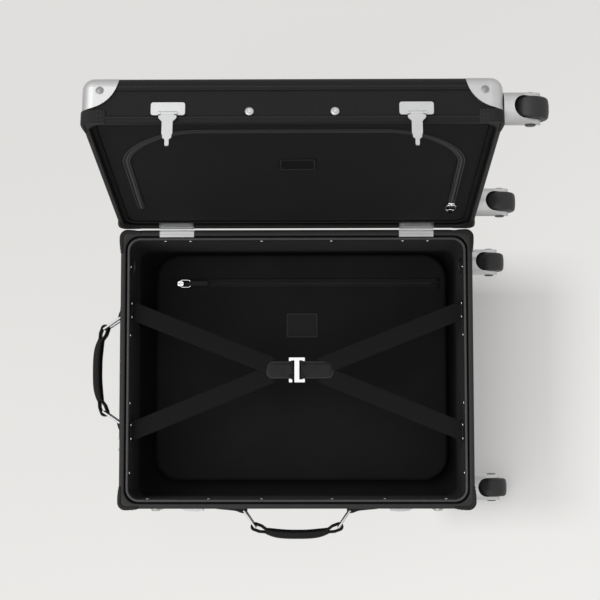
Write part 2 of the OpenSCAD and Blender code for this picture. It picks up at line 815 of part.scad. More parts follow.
module hinge_lid_leaves() {
  h = hinge_l / 2;
  k = knuckle_l / 2 - 0.2;
  color(satin_silver) lid_place() translate([0, 0, lid_depth]) at_hinges() {
    difference() {
      union() {
        translate([-h, case_w / 2 - leaf_reach, -rim_half - leaf_t]) cube([hinge_l, leaf_reach - 0.4, leaf_t]);
        translate([-k, case_w / 2 - leaf_reach, -rim_half - leaf_t]) cube([2 * k, leaf_reach + pivot_out, leaf_t]);
        translate([-k, pivot_y, 0]) rotate([0, 90, 0]) cylinder(d = knuckle_d, h = 2 * k);
      }
      translate([-h, pivot_y, 0]) rotate([0, 90, 0]) cylinder(d = pin_d + 2 * run_gap, h = hinge_l);
    }
  }
}

// Casters. Each is drawn about its swivel axis (+X), hanging towards -Z.
kingpin_d = 8;
kingpin_l = 9;
fork_x0 = plate_t + 0.6;
axle_x = 36;
arm_r = 12;
crown_l = 12;
axle_d = 6;
slot_w = wheel_w + 1;
module caster_plate() {
  rotate([0, 90, 0]) {
    translate([0, 0, -binding_t]) cylinder(d = plate_d, h = binding_t + plate_t - 0.6);
    translate([0, 0, plate_t - 0.6]) cylinder(d = plate_d - 8, h = 0.8);
    cylinder(d = kingpin_d, h = fork_x0 + kingpin_l);
  }
}

// Side view of an arm: crown at the swivel, tangents to a round end about the axle.
module arm_side() {
  top = hood_d / 2;
  low = hood_d / 2 + trail;
  d = axle_x - fork_x0 - crown_l;
  tilt = atan2(top - arm_r + trail, d);
  rotate([90, 0, 0]) translate([0, 0, -hood_d]) {
    linear_extrude(2 * hood_d) polygon([
      [fork_x0, top], [fork_x0 + crown_l, top],
      [axle_x + (arm_r - 0.2) * sin(tilt), -trail + (arm_r - 0.2) * cos(tilt)],
      [axle_x + 3, -trail], [axle_x, -trail - arm_r + 0.2],
      [fork_x0 + crown_l, -low + 4], [fork_x0, -low + 4]
    ]);
    translate([axle_x, -trail, 0]) cylinder(r = arm_r, h = 2 * hood_d);
  }
}
module fork() {
  difference() {
    intersection() {
      arm_side();
      rotate([0, 90, 0]) linear_extrude(axle_x + wheel_d) {
        circle(d = hood_d);
        translate([0, -hood_d / 2]) square([trail, hood_d]);
        translate([trail, 0]) circle(d = hood_d);
      }
    }
    // Arch for the wheel, round at its inner end.
    translate([fork_x0 + crown_l + slot_w / 2, 0, -hood_d]) linear_extrude(2 * hood_d) {
      circle(d = slot_w);
      translate([0, -slot_w / 2]) square([axle_x, slot_w]);
    }
    // Room for the wheel's rim inside the arch's corners.
    translate([axle_x, -slot_w / 2, -trail]) rotate([-90, 0, 0]) cylinder(d = wheel_d + 1.6, h = slot_w);
    translate([axle_x, -hood_d, -trail]) rotate([-90, 0, 0]) cylinder(d = axle_d, h = 2 * hood_d);
    rotate([0, 90, 0]) cylinder(d = kingpin_d + 2 * run_gap, h = fork_x0 + kingpin_l + 0.4);
  }
}
cap_d = 13.7;
module axle() {
  translate([axle_x, 0, -trail]) rotate([-90, 0, 0]) {
    translate([0, 0, -hood_d / 2]) cylinder(d = axle_d, h = hood_d);
    for (s = [0, 1]) mirror([0, 0, s]) translate([0, 0, hood_d / 2]) cylinder(d1 = cap_d, d2 = cap_d - 2.4, h = 1.4);
  }
}

// Wheel: hub bored for the axle, tyre with rounded shoulders and a shallow crown.
shoulder = 4.5;
crown = 0.6;
module wheel() {
  r = wheel_d / 2;
  w = wheel_w / 2;
  translate([axle_x, 0, -trail]) rotate([90, 0, 0]) rotate_extrude($fn = 96) {
    difference() {
      union() {
        polygon([
          [axle_d / 2 + run_gap, -w], [r - shoulder - crown, -w], [r - crown, -w + shoulder], [r, -w / 3],
          [r, w / 3], [r - crown, w - shoulder], [r - shoulder - crown, w], [axle_d / 2 + run_gap, w]
        ]);
        for (s = [-1, 1]) translate([r - shoulder - crown, s * (w - shoulder)]) circle(r = shoulder);
      }
    }
  }
}

lid_back = lid_point(caster_y + caster_shift, lid_caster_w);
lid_front = lid_point(-caster_y + caster_shift, lid_caster_w);
module at_base_caster(s) {
  translate([right_end, s * caster_y + caster_shift, caster_h]) children();
}
module at_lid_caster(p) {
  translate([right_end, p[0], p[1]]) children();
}
module base_caster_plates() {
  color("#8d8f91") for (s = [-1, 1]) at_base_caster(s) caster_plate();
}
module lid_caster_plates() {
  color("#8d8f91") for (p = [lid_back, lid_front]) at_lid_caster(p) caster_plate();
}
module base_back_fork() { color(satin_silver) at_base_caster(1) fork(); }
module base_back_axle() { color(black_tyre) at_base_caster(1) axle(); }
module base_back_wheel() { color(black_tyre) at_base_caster(1) wheel(); }
module base_front_fork() { color(satin_silver) at_base_caster(-1) fork(); }
module base_front_axle() { color(black_tyre) at_base_caster(-1) axle(); }
module base_front_wheel() { color(black_tyre) at_base_caster(-1) wheel(); }
module lid_back_fork() { color(satin_silver) at_lid_caster(lid_back) fork(); }
module lid_back_axle() { color(black_tyre) at_lid_caster(lid_back) axle(); }
module lid_back_wheel() { color(black_tyre) at_lid_caster(lid_back) wheel(); }
module lid_front_fork() { color(satin_silver) at_lid_caster(lid_front) fork(); }
module lid_front_axle() { color(black_tyre) at_lid_caster(lid_front) axle(); }
module lid_front_wheel() { color(black_tyre) at_lid_caster(lid_front) wheel(); }

// The lid's pieces, drawn panel down and put in place by lid_place().
lid_seat_h = lid_depth - lid_caster_w;
module lid_shell() {
  color(black_leather) lid_place() half_shell(lid_depth);
}
module lid_lining() {
  color(black_fabric) lid_place() half_lining(lid_depth);
}

// Divider panel that closes the lid: a plate set into the lining's mouth.
divider_t = 2.4;
divider_z = lid_depth - divider_w - divider_t;
module lid_divider() {
  color(black_fabric) lid_place() block(cavity_in, divider_z, divider_z + divider_t, lining_r);
}

// Zip of the divider along a three-sided curve: straight sides and blunt round corners.
zip_half = case_l / 2 - 34;
zip_low = 70;
zip_top = case_w - 42.5;
zip_side = zip_top - 102;
corner_a = 95;
corner_pow = 2 / 1.5;
function corner_pt(t) = [
  zip_half - corner_a + corner_a * pow(cos(t), corner_pow),
  zip_side + (zip_top - zip_side) * pow(sin(t), corner_pow)
];
right_side = [[zip_half, zip_low], [zip_half, (zip_low + zip_side) / 2], for (t = [0:7.5:90]) corner_pt(t)];
zip_line = [for (p = right_side) p, for (i = [len(right_side) - 1:-1:0]) [-right_side[i].x, right_side[i].y]];
function side_of(pts, i, d) =
  let (a = pts[max(i - 1, 0)], b = pts[min(i + 1, len(pts) - 1)], v = (b - a) / norm(b - a))
  pts[i] + d * [-v.y, v.x];
module zip_strip(w, t) {
  n = len(zip_line);
  linear_extrude(t) polygon([
    for (i = [0:n - 1]) side_of(zip_line, i, w / 2),
    for (i = [n - 1:-1:0]) side_of(zip_line, i, -w / 2)
  ]);
}
zip_piping = 9;
module lid_zip() {
  lid_place() translate([0, case_w / 2, divider_z + divider_t]) mirror([0, 1, 0]) {
    color(black_fabric) zip_strip(zip_piping, 0.8);
    color(black_fabric) translate([0, 0, 0.8]) zip_strip(teeth_w, 0.8);
    // Slider and its pull at the strip's right end.
    color(satin_silver) translate([zip_half, zip_low, 0]) {
      translate([-slider_w / 2, 0, 1.6]) cube([slider_w, slider_l, 1.8]);
      translate([-2.5, -20, 2.6]) cube([5, 24, 1.4]);
      translate([0, -20, 2.6]) cylinder(d = 9, h = 1.4);
    }
  }
}

module lid_rim_binding() {
  color(black_leather) lid_place() difference() {
    half_rim_binding(lid_depth);
    caster_seats(lid_seat_h, 0);
  }
}
module lid_edge_binding() {
  color(black_leather) lid_place() half_edge_binding(lid_seat_h);
}
module lid_corner_caps() {
  color(satin_silver) lid_place() half_corner_caps(lid_depth, lid_seat_h);
}
module lid_rim_corners() {
  color(black_leather) lid_place() difference() {
    half_rim_corners(lid_depth);
    caster_seats(lid_seat_h, 0.3);
  }
}

// Places on the lid's front wall: x along the rim, +Y away from the rim, +Z out of the wall.
module lid_wall(x) {
  lid_place() translate([x, front, lid_depth]) rotate([90, 0, 0]) mirror([0, 1, 0]) children();
}
module lid_studs() {
  color(satin_silver) for (s = [-1, 1]) lid_wall(s * stud_x) {
    translate([0, stud_w, -shell_in]) cylinder(d = stud_d, h = shell_in + 0.8);
    translate([0, stud_w, 0.8]) cylinder(d1 = stud_d, d2 = stud_d * 0.7, h = 1.2);
  }
}

// Hasp plates on the lid's front wall, each with two ears for the hasp's pin.
plate_low = rim_skirt;
plate_high = 25;
hasp_plate_t = 1.6;
ear_half = 9.5;
module hasp_plates() {
  h = plate_high - plate_low;
  r = 3;
  color(satin_silver) for (s = [-1, 1]) lid_wall(s * hasp_x) difference() {
    union() {
      translate([-hasp_plate_w / 2 + r, plate_low, -shell_in])
        cube([hasp_plate_w - 2 * r, h, shell_in + hasp_plate_t]);
      translate([-hasp_plate_w / 2, plate_low + r, -shell_in])
        cube([hasp_plate_w, h - 2 * r, shell_in + hasp_plate_t]);
      for (x = [-1, 1], y = [plate_low + r, plate_high - r])
        translate([x * (hasp_plate_w / 2 - r), y, -shell_in]) cylinder(r = r, h = shell_in + hasp_plate_t);
      for (x = [-1, 1]) translate([x * ear_half - 1.5, hasp_pin_w, hasp_pin_out]) rotate([0, 90, 0]) {
        cylinder(d = 4.4, h = 3);
        translate([0, -2.2, 0]) cube([hasp_pin_out, 4.4, 3]);
      }
    }
    translate([-ear_half - 3, hasp_pin_w, hasp_pin_out]) rotate([0, 90, 0])
      cylinder(d = 2 + 2 * run_gap, h = 2 * ear_half + 6);
  }
}

// Hasp: pin, flange, tapering tongue and a nib at its tip, drawn flat and swung out.
hasp_t = 2;
module hasp_plan() {
  polygon([
    [-7.6, 1.6], [7.6, 1.6], [7.6, -2.6], [10.5, -3.6], [10.5, -6.5], [6.3, -11], [6.3, 15.5 - hasp_l],
    [5.3, 13.5 - hasp_l], [5.3, 10.5 - hasp_l], [2.4, 8 - hasp_l], [2.4, 1 - hasp_l], [1.4, -hasp_l],
    [-1.4, -hasp_l], [-2.4, 1 - hasp_l], [-2.4, 8 - hasp_l], [-5.3, 10.5 - hasp_l], [-5.3, 13.5 - hasp_l],
    [-6.3, 15.5 - hasp_l], [-6.3, -11], [-10.5, -6.5], [-10.5, -3.6], [-7.6, -2.6]
  ]);
}
module hasp(s) {
  color(satin_silver) lid_wall(s * hasp_x) translate([0, hasp_pin_w, hasp_pin_out])
    rotate([-hasp_out, 0, 0]) {
      translate([0, 0, -1]) linear_extrude(hasp_t) hasp_plan();
      translate([-7.6, 0, 0]) rotate([0, 90, 0]) cylinder(d = 4, h = 15.2);
      translate([-ear_half - 1.5, 0, 0]) rotate([0, 90, 0]) cylinder(d = 2, h = 2 * ear_half + 3);
    }
}
module hasp_left() { hasp(-1); }
module hasp_right() { hasp(1); }

base_shell();
base_lining();
base_rim_binding();
base_rim_bead();
base_edge_binding();
base_corner_caps();
base_rim_corners();
base_rivets();
trolley_cover();
pocket_zip();
housing_tubes();
trolley_bezel();
strap_bands();
strap_tabs();
strap_hook();
handle_chapes();
side_feet();
latch_catches();
hinge_base_leaves();
base_caster_plates();
lid_shell();
lid_lining();
lid_divider();
lid_zip();
lid_rim_binding();
lid_edge_binding();
lid_corner_caps();
lid_rim_corners();
lid_studs();
hasp_plates();
hinge_lid_leaves();
lid_caster_plates();
hasp_left();
hasp_right();
latch_button_left();
latch_button_right();
middle_tubes();
inner_tubes();
trolley_grip();
trolley_button();
pocket_slider();
front_ring_left();
front_ring_right();
front_grip();
end_ring_left();
end_ring_right();
end_grip();
base_back_fork();
base_back_axle();
base_back_wheel();
base_front_fork();
base_front_axle();
base_front_wheel();
lid_back_fork();
lid_back_axle();
lid_back_wheel();
lid_front_fork();
lid_front_axle();
lid_front_wheel();
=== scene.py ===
# %% [markdown]
# # A trunk-style rolling suitcase, open on the floor
#
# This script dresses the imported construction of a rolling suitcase: black leather over moulded shells,
# satin metal corner caps, hasps and rings, a twill lining, webbing bands with a hook clasp, and four swivel
# casters. It lies on its back with the lid standing open. Every length is in metres and every piece is
# drawn in the construction's own frame: +X to the casters, +Y to the hinges, +Z up.

# %% Load the frame
import json
import math

import bmesh
import bpy
import numpy as np
from mathutils import Matrix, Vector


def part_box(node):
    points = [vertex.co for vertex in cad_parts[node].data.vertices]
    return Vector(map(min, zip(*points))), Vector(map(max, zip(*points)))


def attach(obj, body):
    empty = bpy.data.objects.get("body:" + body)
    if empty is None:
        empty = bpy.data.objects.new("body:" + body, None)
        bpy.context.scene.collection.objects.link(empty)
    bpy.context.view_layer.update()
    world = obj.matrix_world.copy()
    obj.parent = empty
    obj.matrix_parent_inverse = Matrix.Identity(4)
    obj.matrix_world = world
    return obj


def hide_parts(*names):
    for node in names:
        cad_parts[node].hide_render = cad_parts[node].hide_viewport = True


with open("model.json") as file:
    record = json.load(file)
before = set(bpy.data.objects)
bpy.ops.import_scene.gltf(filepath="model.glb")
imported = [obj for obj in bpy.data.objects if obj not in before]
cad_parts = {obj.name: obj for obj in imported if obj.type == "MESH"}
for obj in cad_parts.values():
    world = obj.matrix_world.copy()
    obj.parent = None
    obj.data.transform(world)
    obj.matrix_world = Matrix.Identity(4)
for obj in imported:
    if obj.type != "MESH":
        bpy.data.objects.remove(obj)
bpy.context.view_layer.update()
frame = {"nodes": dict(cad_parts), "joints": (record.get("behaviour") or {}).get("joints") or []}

MM = 0.001

# %% [markdown]
# ## Sizes taken from the frame
#
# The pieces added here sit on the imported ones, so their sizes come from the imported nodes' boxes and from
# the lid's hinge. The lid is drawn as a half lying panel down, like the base, and one function turns it up
# into its place, so both halves share every function below.

# %% Driving sizes
rim_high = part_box("base_rim_binding")[1]
HALF_L = rim_high.x
HALF_W = rim_high.y
RIM_HALF = 0.2 * MM
BASE_DEPTH = rim_high.z + RIM_HALF
lid_joint = next(j for j in frame["joints"] if j["name"] == "lid_hinge")
PIVOT_Y = lid_joint["pos_m"][1]
OPEN = math.radians(lid_joint["range_deg"][1])
LID_DEPTH = 59.7 * MM
EDGE_R = 13.2 * MM
RIM_BAND = 7 * MM
RIM_INNER_R = 19 * MM
HINGE_WELT = 1.45 * MM
CAVITY_IN = 13.2 * MM
HALF_CX = HALF_L - CAVITY_IN
HALF_CY = HALF_W - CAVITY_IN
LINING_R = 16 * MM
LINING_DROP = 6 * MM
CAP_R = 42.7 * MM
PANEL_Z = LID_DEPTH - 7 * MM
cover_low, cover_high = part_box("trolley_cover")
COVER_TOP = cover_high.z
BASE_FLOOR = cover_low.z
print("half length", round(HALF_L, 4), "half width", round(HALF_W, 4), "rim", round(BASE_DEPTH, 4))


def into_lid(points):
    """Points of a half lying panel down, put into the open lid: turned over at the rim, then open.

    Height z above the panel becomes depth below the rim. About the hinge, (y, z) turns by the open angle."""
    p = np.asarray(points, float)
    y = p[..., 1] - PIVOT_Y
    w = LID_DEPTH - p[..., 2]
    c, s = math.cos(OPEN), math.sin(OPEN)
    return np.stack([p[..., 0], PIVOT_Y + y * c + w * s, BASE_DEPTH - y * s + w * c], -1)


# %% [markdown]
# ## Meshes from arrays
#
# A surface here is a grid of points: one way along a path, the other way round a profile. Modelling by hand
# would give the same surfaces, but a formula keeps them tied to the case's sizes. The helpers below turn
# such grids into meshes, and scatter one small shape along a path, which is how a seam gets its stitches.

# %% Mesh helpers
def put_in_scene(name, data):
    """An object that shows a mesh, a lamp or a camera, in the scene."""
    obj = bpy.data.objects.new(name, data)
    bpy.context.scene.collection.objects.link(obj)
    return obj


def make_mesh(name, verts, faces, uvs=None, smooth=True):
    """A mesh object from an array of points and an array of equal-sided faces, with optional loop UVs."""
    mesh = bpy.data.meshes.new(name)
    verts = np.asarray(verts, np.float32).reshape(-1, 3)
    faces = np.asarray(faces, np.int32)
    mesh.vertices.add(len(verts))
    mesh.vertices.foreach_set("co", verts.ravel())
    mesh.loops.add(faces.size)
    mesh.loops.foreach_set("vertex_index", faces.ravel())
    mesh.polygons.add(len(faces))
    mesh.polygons.foreach_set("loop_start", np.arange(0, faces.size, faces.shape[1], dtype=np.int32))
    mesh.polygons.foreach_set("use_smooth", np.full(len(faces), smooth))
    if uvs is not None:
        layer = mesh.uv_layers.new(name="along")
        layer.data.foreach_set("uv", np.asarray(uvs, np.float32).ravel())
    mesh.update(calc_edges=True)
    mesh.validate()
    return put_in_scene(name, mesh)


def grid_faces(rows, cols, wrap_rows=False, wrap_cols=False):
    """Quads of a grid of points numbered row by row, closed on itself where asked."""
    r = np.arange(rows if wrap_rows else rows - 1)
    c = np.arange(cols if wrap_cols else cols - 1)
    i, j = np.meshgrid(r, c, indexing="ij")
    i2, j2 = (i + 1) % rows, (j + 1) % cols
    return np.stack([i * cols + j, i * cols + j2, i2 * cols + j2, i2 * cols + j], -1).reshape(-1, 4)


def face_outwards(obj, merge=1e-6, fill=False):
    """Merges doubles and turns every face outwards; fill closes the open ends first."""
    bm = bmesh.new()
    bm.from_mesh(obj.data)
    if fill:
        bmesh.ops.holes_fill(bm, edges=[e for e in bm.edges if e.is_boundary], sides=0)
    bmesh.ops.remove_doubles(bm, verts=bm.verts, dist=merge)
    bmesh.ops.recalc_face_normals(bm, faces=bm.faces)
    bm.to_mesh(obj.data)
    bm.free()
    return obj


def move_mesh(obj, place):
    """Sends every vertex of a mesh through a function of points, and turns the faces outwards again."""
    co = np.empty(len(obj.data.vertices) * 3, np.float32)
    obj.data.vertices.foreach_get("co", co)
    moved = place(co.reshape(-1, 3).astype(float))
    obj.data.vertices.foreach_set("co", moved.astype(np.float32).ravel())
    obj.data.update()
    return face_outwards(obj, 1e-7)


def unit(v):
    """Vectors at length one."""
    v = np.asarray(v, float)
    return v / np.maximum(np.linalg.norm(v, axis=-1, keepdims=True), 1e-12)


def put(points, place):
    """Points sent through a function of points, where there is one."""
    return place(points) if place else points


# %% Outlines and paths
QUARTERS = ((1, 1), (-1, 1), (-1, -1), (1, -1))


def rounded_loop(hx, hy, r, corner=10, side=24):
    """Points round a rounded rectangle, for arrays of half lengths hx, hy and corner radius r.

    Each corner is r times (cos t, sin t) about its centre, and the straight sides are divided evenly."""
    hx, hy, r = np.broadcast_arrays(*[np.atleast_1d(np.asarray(v, float)) for v in (hx, hy, r)])
    k = np.linspace(0, 1, side + 1)[1:-1][None, :, None]
    arcs = []
    for q, (sx, sy) in enumerate(QUARTERS):
        t = np.radians(90 * q) + np.linspace(0, np.pi / 2, corner + 1)
        centre = np.stack([sx * (hx - r), sy * (hy - r)], -1)[:, None, :]
        arcs.append(centre + r[:, None, None] * np.stack([np.cos(t), np.sin(t)], -1)[None])
    out = []
    for q, arc in enumerate(arcs):
        start, end = arc[:, -1:, :], arcs[(q + 1) % 4][:, :1, :]
        out += [arc, start + (end - start) * k]
    return np.concatenate(out, 1)


def at_heights(xy, heights):
    """Rows of flat outlines, each lifted to its own height."""
    z = np.broadcast_to(np.asarray(heights, float)[:, None, None], xy.shape[:2] + (1,))
    return np.concatenate([xy, z], -1)


def flat_line(xy, z):
    """A line of (x, y) points at one height."""
    return np.c_[xy, np.full(len(xy), z)]


def loop_band(name, profile, side, place=None):
    """A closed profile of (inset, height, corner radius) rows swept round the case's rounded rectangle."""
    prof = np.asarray(profile, float)
    inset, radius = prof[:, 0], np.maximum(prof[:, 2], 0.3 * MM)
    pts = at_heights(rounded_loop(HALF_L - inset, HALF_W - inset, radius, 10, side), prof[:, 1])
    return face_outwards(make_mesh(name, put(pts, place), grid_faces(*pts.shape[:2], True, True)))


def resample(path, spacing=None, count=None, closed=False):
    """Points evenly spaced along a polyline, with their directions."""
    p = np.asarray(path, float)
    if closed:
        p = np.concatenate([p, p[:1]])
    seg = np.linalg.norm(np.diff(p, axis=0), axis=1)
    run = np.concatenate([[0], np.cumsum(seg)])
    at = np.linspace(0, run[-1], count or max(2, int(run[-1] / spacing)), endpoint=not closed)

    def along(distance):
        return np.stack([np.interp(distance, run, p[:, k]) for k in range(3)], -1)
    ahead = along(np.minimum(at + 1e-4, run[-1]))
    behind = along(np.maximum(at - 1e-4, 0))
    return along(at), unit(ahead - behind)


# %% Carried profiles and scattered shapes
def scatter(name, verts, faces, at, along, up):
    """One small shape copied to each place: its x goes along, its z up, its y across."""
    verts, faces = np.asarray(verts, float), np.asarray(faces)
    along = unit(along)
    across = unit(np.cross(up, along))
    axes = np.stack([along, across, np.cross(along, across)], 1)
    pts = np.asarray(at)[:, None, :] + verts @ axes
    every = faces[None] + (np.arange(len(at)) * len(verts))[:, None, None]
    return make_mesh(name, pts, every.reshape(-1, faces.shape[1]))


def blob(length, width, height):
    """A stitch or a tooth: an ellipsoid drawn as rings round its long axis, closed by collapsed end rings."""
    t = np.linspace(-1, 1, 5)
    a = np.linspace(0, 2 * np.pi, 6, endpoint=False)
    r = np.sqrt(np.maximum(0.0004, 1 - np.abs(t) ** 2.6))
    x = np.repeat(t * length / 2, 6)
    y = (r[:, None] * np.cos(a)).ravel() * width / 2
    z = (r[:, None] * np.sin(a)).ravel() * height / 2
    return np.stack([x, y, z], -1), grid_faces(5, 6, False, True)


def superellipse(width, thick, power_x, power_y, sides):
    """A closed section: x = w/2 cos(t)^(2/p) and y = h/2 sin(t)^(2/q), with the signs kept."""
    a = np.linspace(0, 2 * np.pi, sides, endpoint=False)
    c, s = np.cos(a), np.sin(a)
    return np.stack([np.sign(c) * np.abs(c) ** (2 / power_x) * width / 2,
                     np.sign(s) * np.abs(s) ** (2 / power_y) * thick / 2], -1)


def flat_oval(width, thick, power=5.0, sides=28):
    """A strap's section: a superellipse, flat on both faces with rounded edges."""
    return superellipse(width, thick, power, 2.6, sides)


def carry(name, path, side, profile, closed_path=False, scale=None):
    """A closed profile of (across, up) points carried along a path; side is the across direction there.

    Each point is path + across * side + up * (ahead x side). An open path ends in collapsed rings, and the
    UVs are the metres along the path and round the profile."""
    p = np.asarray(path, float)
    prof = np.asarray(profile, float)
    ahead = unit(np.gradient(p, axis=0))
    side = np.broadcast_to(side, p.shape)
    side = unit(side - np.sum(side * ahead, -1, keepdims=True) * ahead)
    k = np.ones((len(p), 2)) if scale is None else scale
    spread = prof[None] * k[:, None]
    up = np.cross(ahead, side)
    pts = p[:, None, :] + spread[..., :1] * side[:, None, :] + spread[..., 1:] * up[:, None, :]
    if not closed_path:
        ends = np.broadcast_to(p[[0, -1]][:, None, :], (2, len(prof), 3))
        pts = np.concatenate([ends[:1], pts, ends[1:]])
    rows, cols = pts.shape[:2]
    faces = grid_faces(rows, cols, closed_path, True)
    u = np.concatenate([[0], np.cumsum(np.linalg.norm(np.diff(pts.mean(1), axis=0), axis=1))])
    v = np.concatenate([[0], np.cumsum(np.linalg.norm(np.roll(prof, -1, 0) - prof, axis=1))[:-1]])
    uv = np.stack([np.repeat(u, cols), np.tile(v, rows)], -1)[faces.ravel()]
    return face_outwards(make_mesh(name, pts, faces, uv))


# %% [markdown]
# ## Shader maths as expressions
#
# A material's pattern is arithmetic on coordinates. Drawing the nodes one by one would hide that, so the
# class below wraps a node socket: `1 - mask` or `noise * 0.3 + 0.5` then adds the Math nodes by itself, and
# `Tree.node` adds any other node from its type, its sockets' values and its settings.

# %% A socket that does arithmetic
def maths(operation, reflected=False):
    """A method that adds one Math node to a socket's tree; a reflected one swaps the two sides."""
    def method(value, *others):
        sides = (value, *others)
        inputs = dict(enumerate(sides[::-1] if reflected else sides))
        return value.tree.node("ShaderNodeMath", inputs, operation=operation)[0]
    return method


class Value:
    """A number socket with operators; each operator adds one Math node."""

    def __init__(self, tree, socket):
        self.tree = tree
        self.socket = socket

    __add__ = maths("ADD")
    __radd__ = maths("ADD", True)
    __sub__ = maths("SUBTRACT")
    __rsub__ = maths("SUBTRACT", True)
    __mul__ = maths("MULTIPLY")
    __rmul__ = maths("MULTIPLY", True)
    sin = maths("SINE")
    abs = maths("ABSOLUTE")
    max = maths("MAXIMUM")

    def clamp(self, low=0.0, high=1.0):
        """Linear from low to high, cut to the range 0 to 1."""
        return self.tree.node("ShaderNodeMapRange", {"Value": self, "From Min": low, "From Max": high})[0]


class Tree:
    """The node tree of a material or of the world, and the one method that adds nodes to it."""

    def __init__(self, owner):
        owner.use_nodes = True
        self.owner = owner
        self.nodes = owner.node_tree.nodes
        self.links = owner.node_tree.links
        self.nodes.clear()

    def node(self, kind, inputs=None, **settings):
        """Adds a node: its settings first, then the values or links of its sockets; returns its outputs."""
        n = self.nodes.new(kind)
        for key, val in settings.items():
            setattr(n, key, val)
        for key, val in (inputs or {}).items():
            socket = n.inputs[key]
            if isinstance(val, Value):
                self.links.new(val.socket, socket)
            elif socket.type == "RGBA":
                socket.default_value = (*val, 1)
            else:
                socket.default_value = val
        return [Value(self, s) for s in n.outputs]

    def place(self, scale=(1, 1, 1), uv=False):
        """Object coordinates, or the piece's own UVs, in millimetres, stretched by scale."""
        coordinates = self.node("ShaderNodeTexCoord")[2 if uv else 3]
        millimetres = tuple(1000 * s for s in scale)
        return self.node("ShaderNodeMapping", {"Vector": coordinates, "Scale": millimetres})[0]

    def apart(self, vector):
        """The x, y and z of a vector."""
        return self.node("ShaderNodeSeparateXYZ", {"Vector": vector})

    def noise(self, vec, scale, detail=3, rough=0.5):
        """Soft noise whose features are 1 / scale wide."""
        inputs = {"Vector": vec, "Scale": scale, "Detail": detail, "Roughness": rough}
        return self.node("ShaderNodeTexNoise", inputs)[0]

    def cells(self, vec, scale):
        """Distance to the nearest Voronoi point, for cells 1 / scale wide."""
        return self.node("ShaderNodeTexVoronoi", {"Vector": vec, "Scale": scale})[0]

    def mix(self, factor, a, b):
        """A colour between a and b."""
        return self.node("ShaderNodeMix", {0: factor, 6: a, 7: b}, data_type="RGBA")[2]

    def shades(self, factor, color, low, high=1.0):
        """A colour between low and high times the given one."""
        dark, light = [tuple(k * c for c in color) for k in (low, high)]
        return self.mix(factor, dark, light)

    def bump(self, height, distance, strength=1.0):
        """The normal of a relief of the given height times distance."""
        return self.node("ShaderNodeBump", {"Height": height, "Distance": distance, "Strength": strength})[0]

    def finish(self, color, roughness, normal, **constants):
        """The surface: a Principled shader whose plain numbers sit on its own sockets."""
        inputs = {"Base Color": color, "Roughness": roughness, "Normal": normal}
        inputs.update({k.replace("_", " "): v for k, v in constants.items()})
        return self.show(self.node("ShaderNodeBsdfPrincipled", inputs)[0])

    def show(self, shader, output="ShaderNodeOutputMaterial"):
        """Joins a shader to the tree's output and returns the tree's owner."""
        self.node(output, {"Surface": shader})
        return self.owner


def new_tree(name):
    """The empty tree of a new material."""
    return Tree(bpy.data.materials.new(name))


# %% [markdown]
# ## Leather, twill, webbing
#
# Grained leather is pebbles with creases between them: two sizes of Voronoi cells with noise over them.
# Twill is diagonal ribs a fraction of a millimetre apart. Webbing is coarser and ribbed across. An image of
# each cloth would need its own mapping; a formula in millimetres keeps the same scale on every piece. Each
# finish keeps its colour nearly even, because these black surfaces are told apart by how they catch the
# light.

# %% Soft finishes
def leather(name, color, grain=1.0, rough=0.5, depth=0.12, gloss=0.35):
    """Pebbles and creases: relief = -0.7 large cells - 0.3 small cells + 0.5 noise, creases darkened as
    painted shade.
    """
    t = new_tree(name)
    p = t.place()
    pebble = t.cells(p, 1.1 / grain)
    crease = t.cells(p, 2.3 / grain)
    soft = t.noise(p, 0.03, 4, 0.6)
    height = pebble * -0.7 + crease * -0.3 + t.noise(p, 0.35, 2) * 0.5
    # The soft noise is the leather's own uneven tone; the pebble term darkens the creases as painted shade.
    col = t.shades((pebble * -0.5 + soft + 0.15).clamp(0.15, 0.85), color, 0.72, 1.35)
    rgh = soft * 0.22 + pebble * 0.12 + (rough - 0.14)
    return t.finish(col, rgh, t.bump(height, depth * MM), Specular_IOR_Level=gloss)


def twill(name, color, pitch=0.9):
    """Diagonal ribs sin(2 pi (x + y + z) / pitch) crossed by finer ones, with fuzz and clouds of tone."""
    t = new_tree(name)
    p = t.place()
    x, y, z = t.apart(p)
    ribs = ((x + y + z) * (2 * math.pi / pitch)).sin()
    cross = ((x - y + z * 0.6) * (2 * math.pi / (pitch * 0.62))).sin()
    cloud = t.noise(p, 0.018, 3, 0.55)
    weave = ribs * 0.3 + cross * 0.2 + t.noise(p, 1.6) * 0.4
    col = t.shades((weave * 0.35 + cloud * 0.9 - 0.1).clamp(0.0, 0.9), color, 0.7, 1.45)
    return t.finish(col, cloud * 0.1 + 0.8, t.bump(weave, 0.1 * MM),
                    Specular_IOR_Level=0.12, Sheen_Weight=0.04, Sheen_Roughness=0.4)


def webbing(name, color, pitch=1.5, rows=9, width=27):
    """Ribs sin(2 pi u / pitch), bent by rows of chevrons |sin(2 pi rows v / width)|; u runs along."""
    t = new_tree(name)
    u, v, _ = t.apart(t.place(uv=True))
    chevron = (v * (2 * math.pi * rows / width)).sin().abs()
    rib = ((u + chevron * 0.6) * (2 * math.pi / pitch)).sin()
    height = rib * 0.35 + chevron * 0.45 + t.noise(t.place(), 2.2) * 0.35
    col = t.shades((height * 0.8).clamp(0.0, 0.9), color, 0.6, 1.6)
    return t.finish(col, 0.78, t.bump(height, 0.22 * MM), Specular_IOR_Level=0.15, Sheen_Weight=0.04)


def thread(name, color):
    """Twisted thread: small cells as its plies."""
    t = new_tree(name)
    ply = t.cells(t.place(), 3.5)
    return t.finish(t.shades(ply.clamp(0, 0.6), color, 0.7), 0.7, t.bump(ply, 0.05 * MM),
                    Specular_IOR_Level=0.3, Sheen_Weight=0.2)


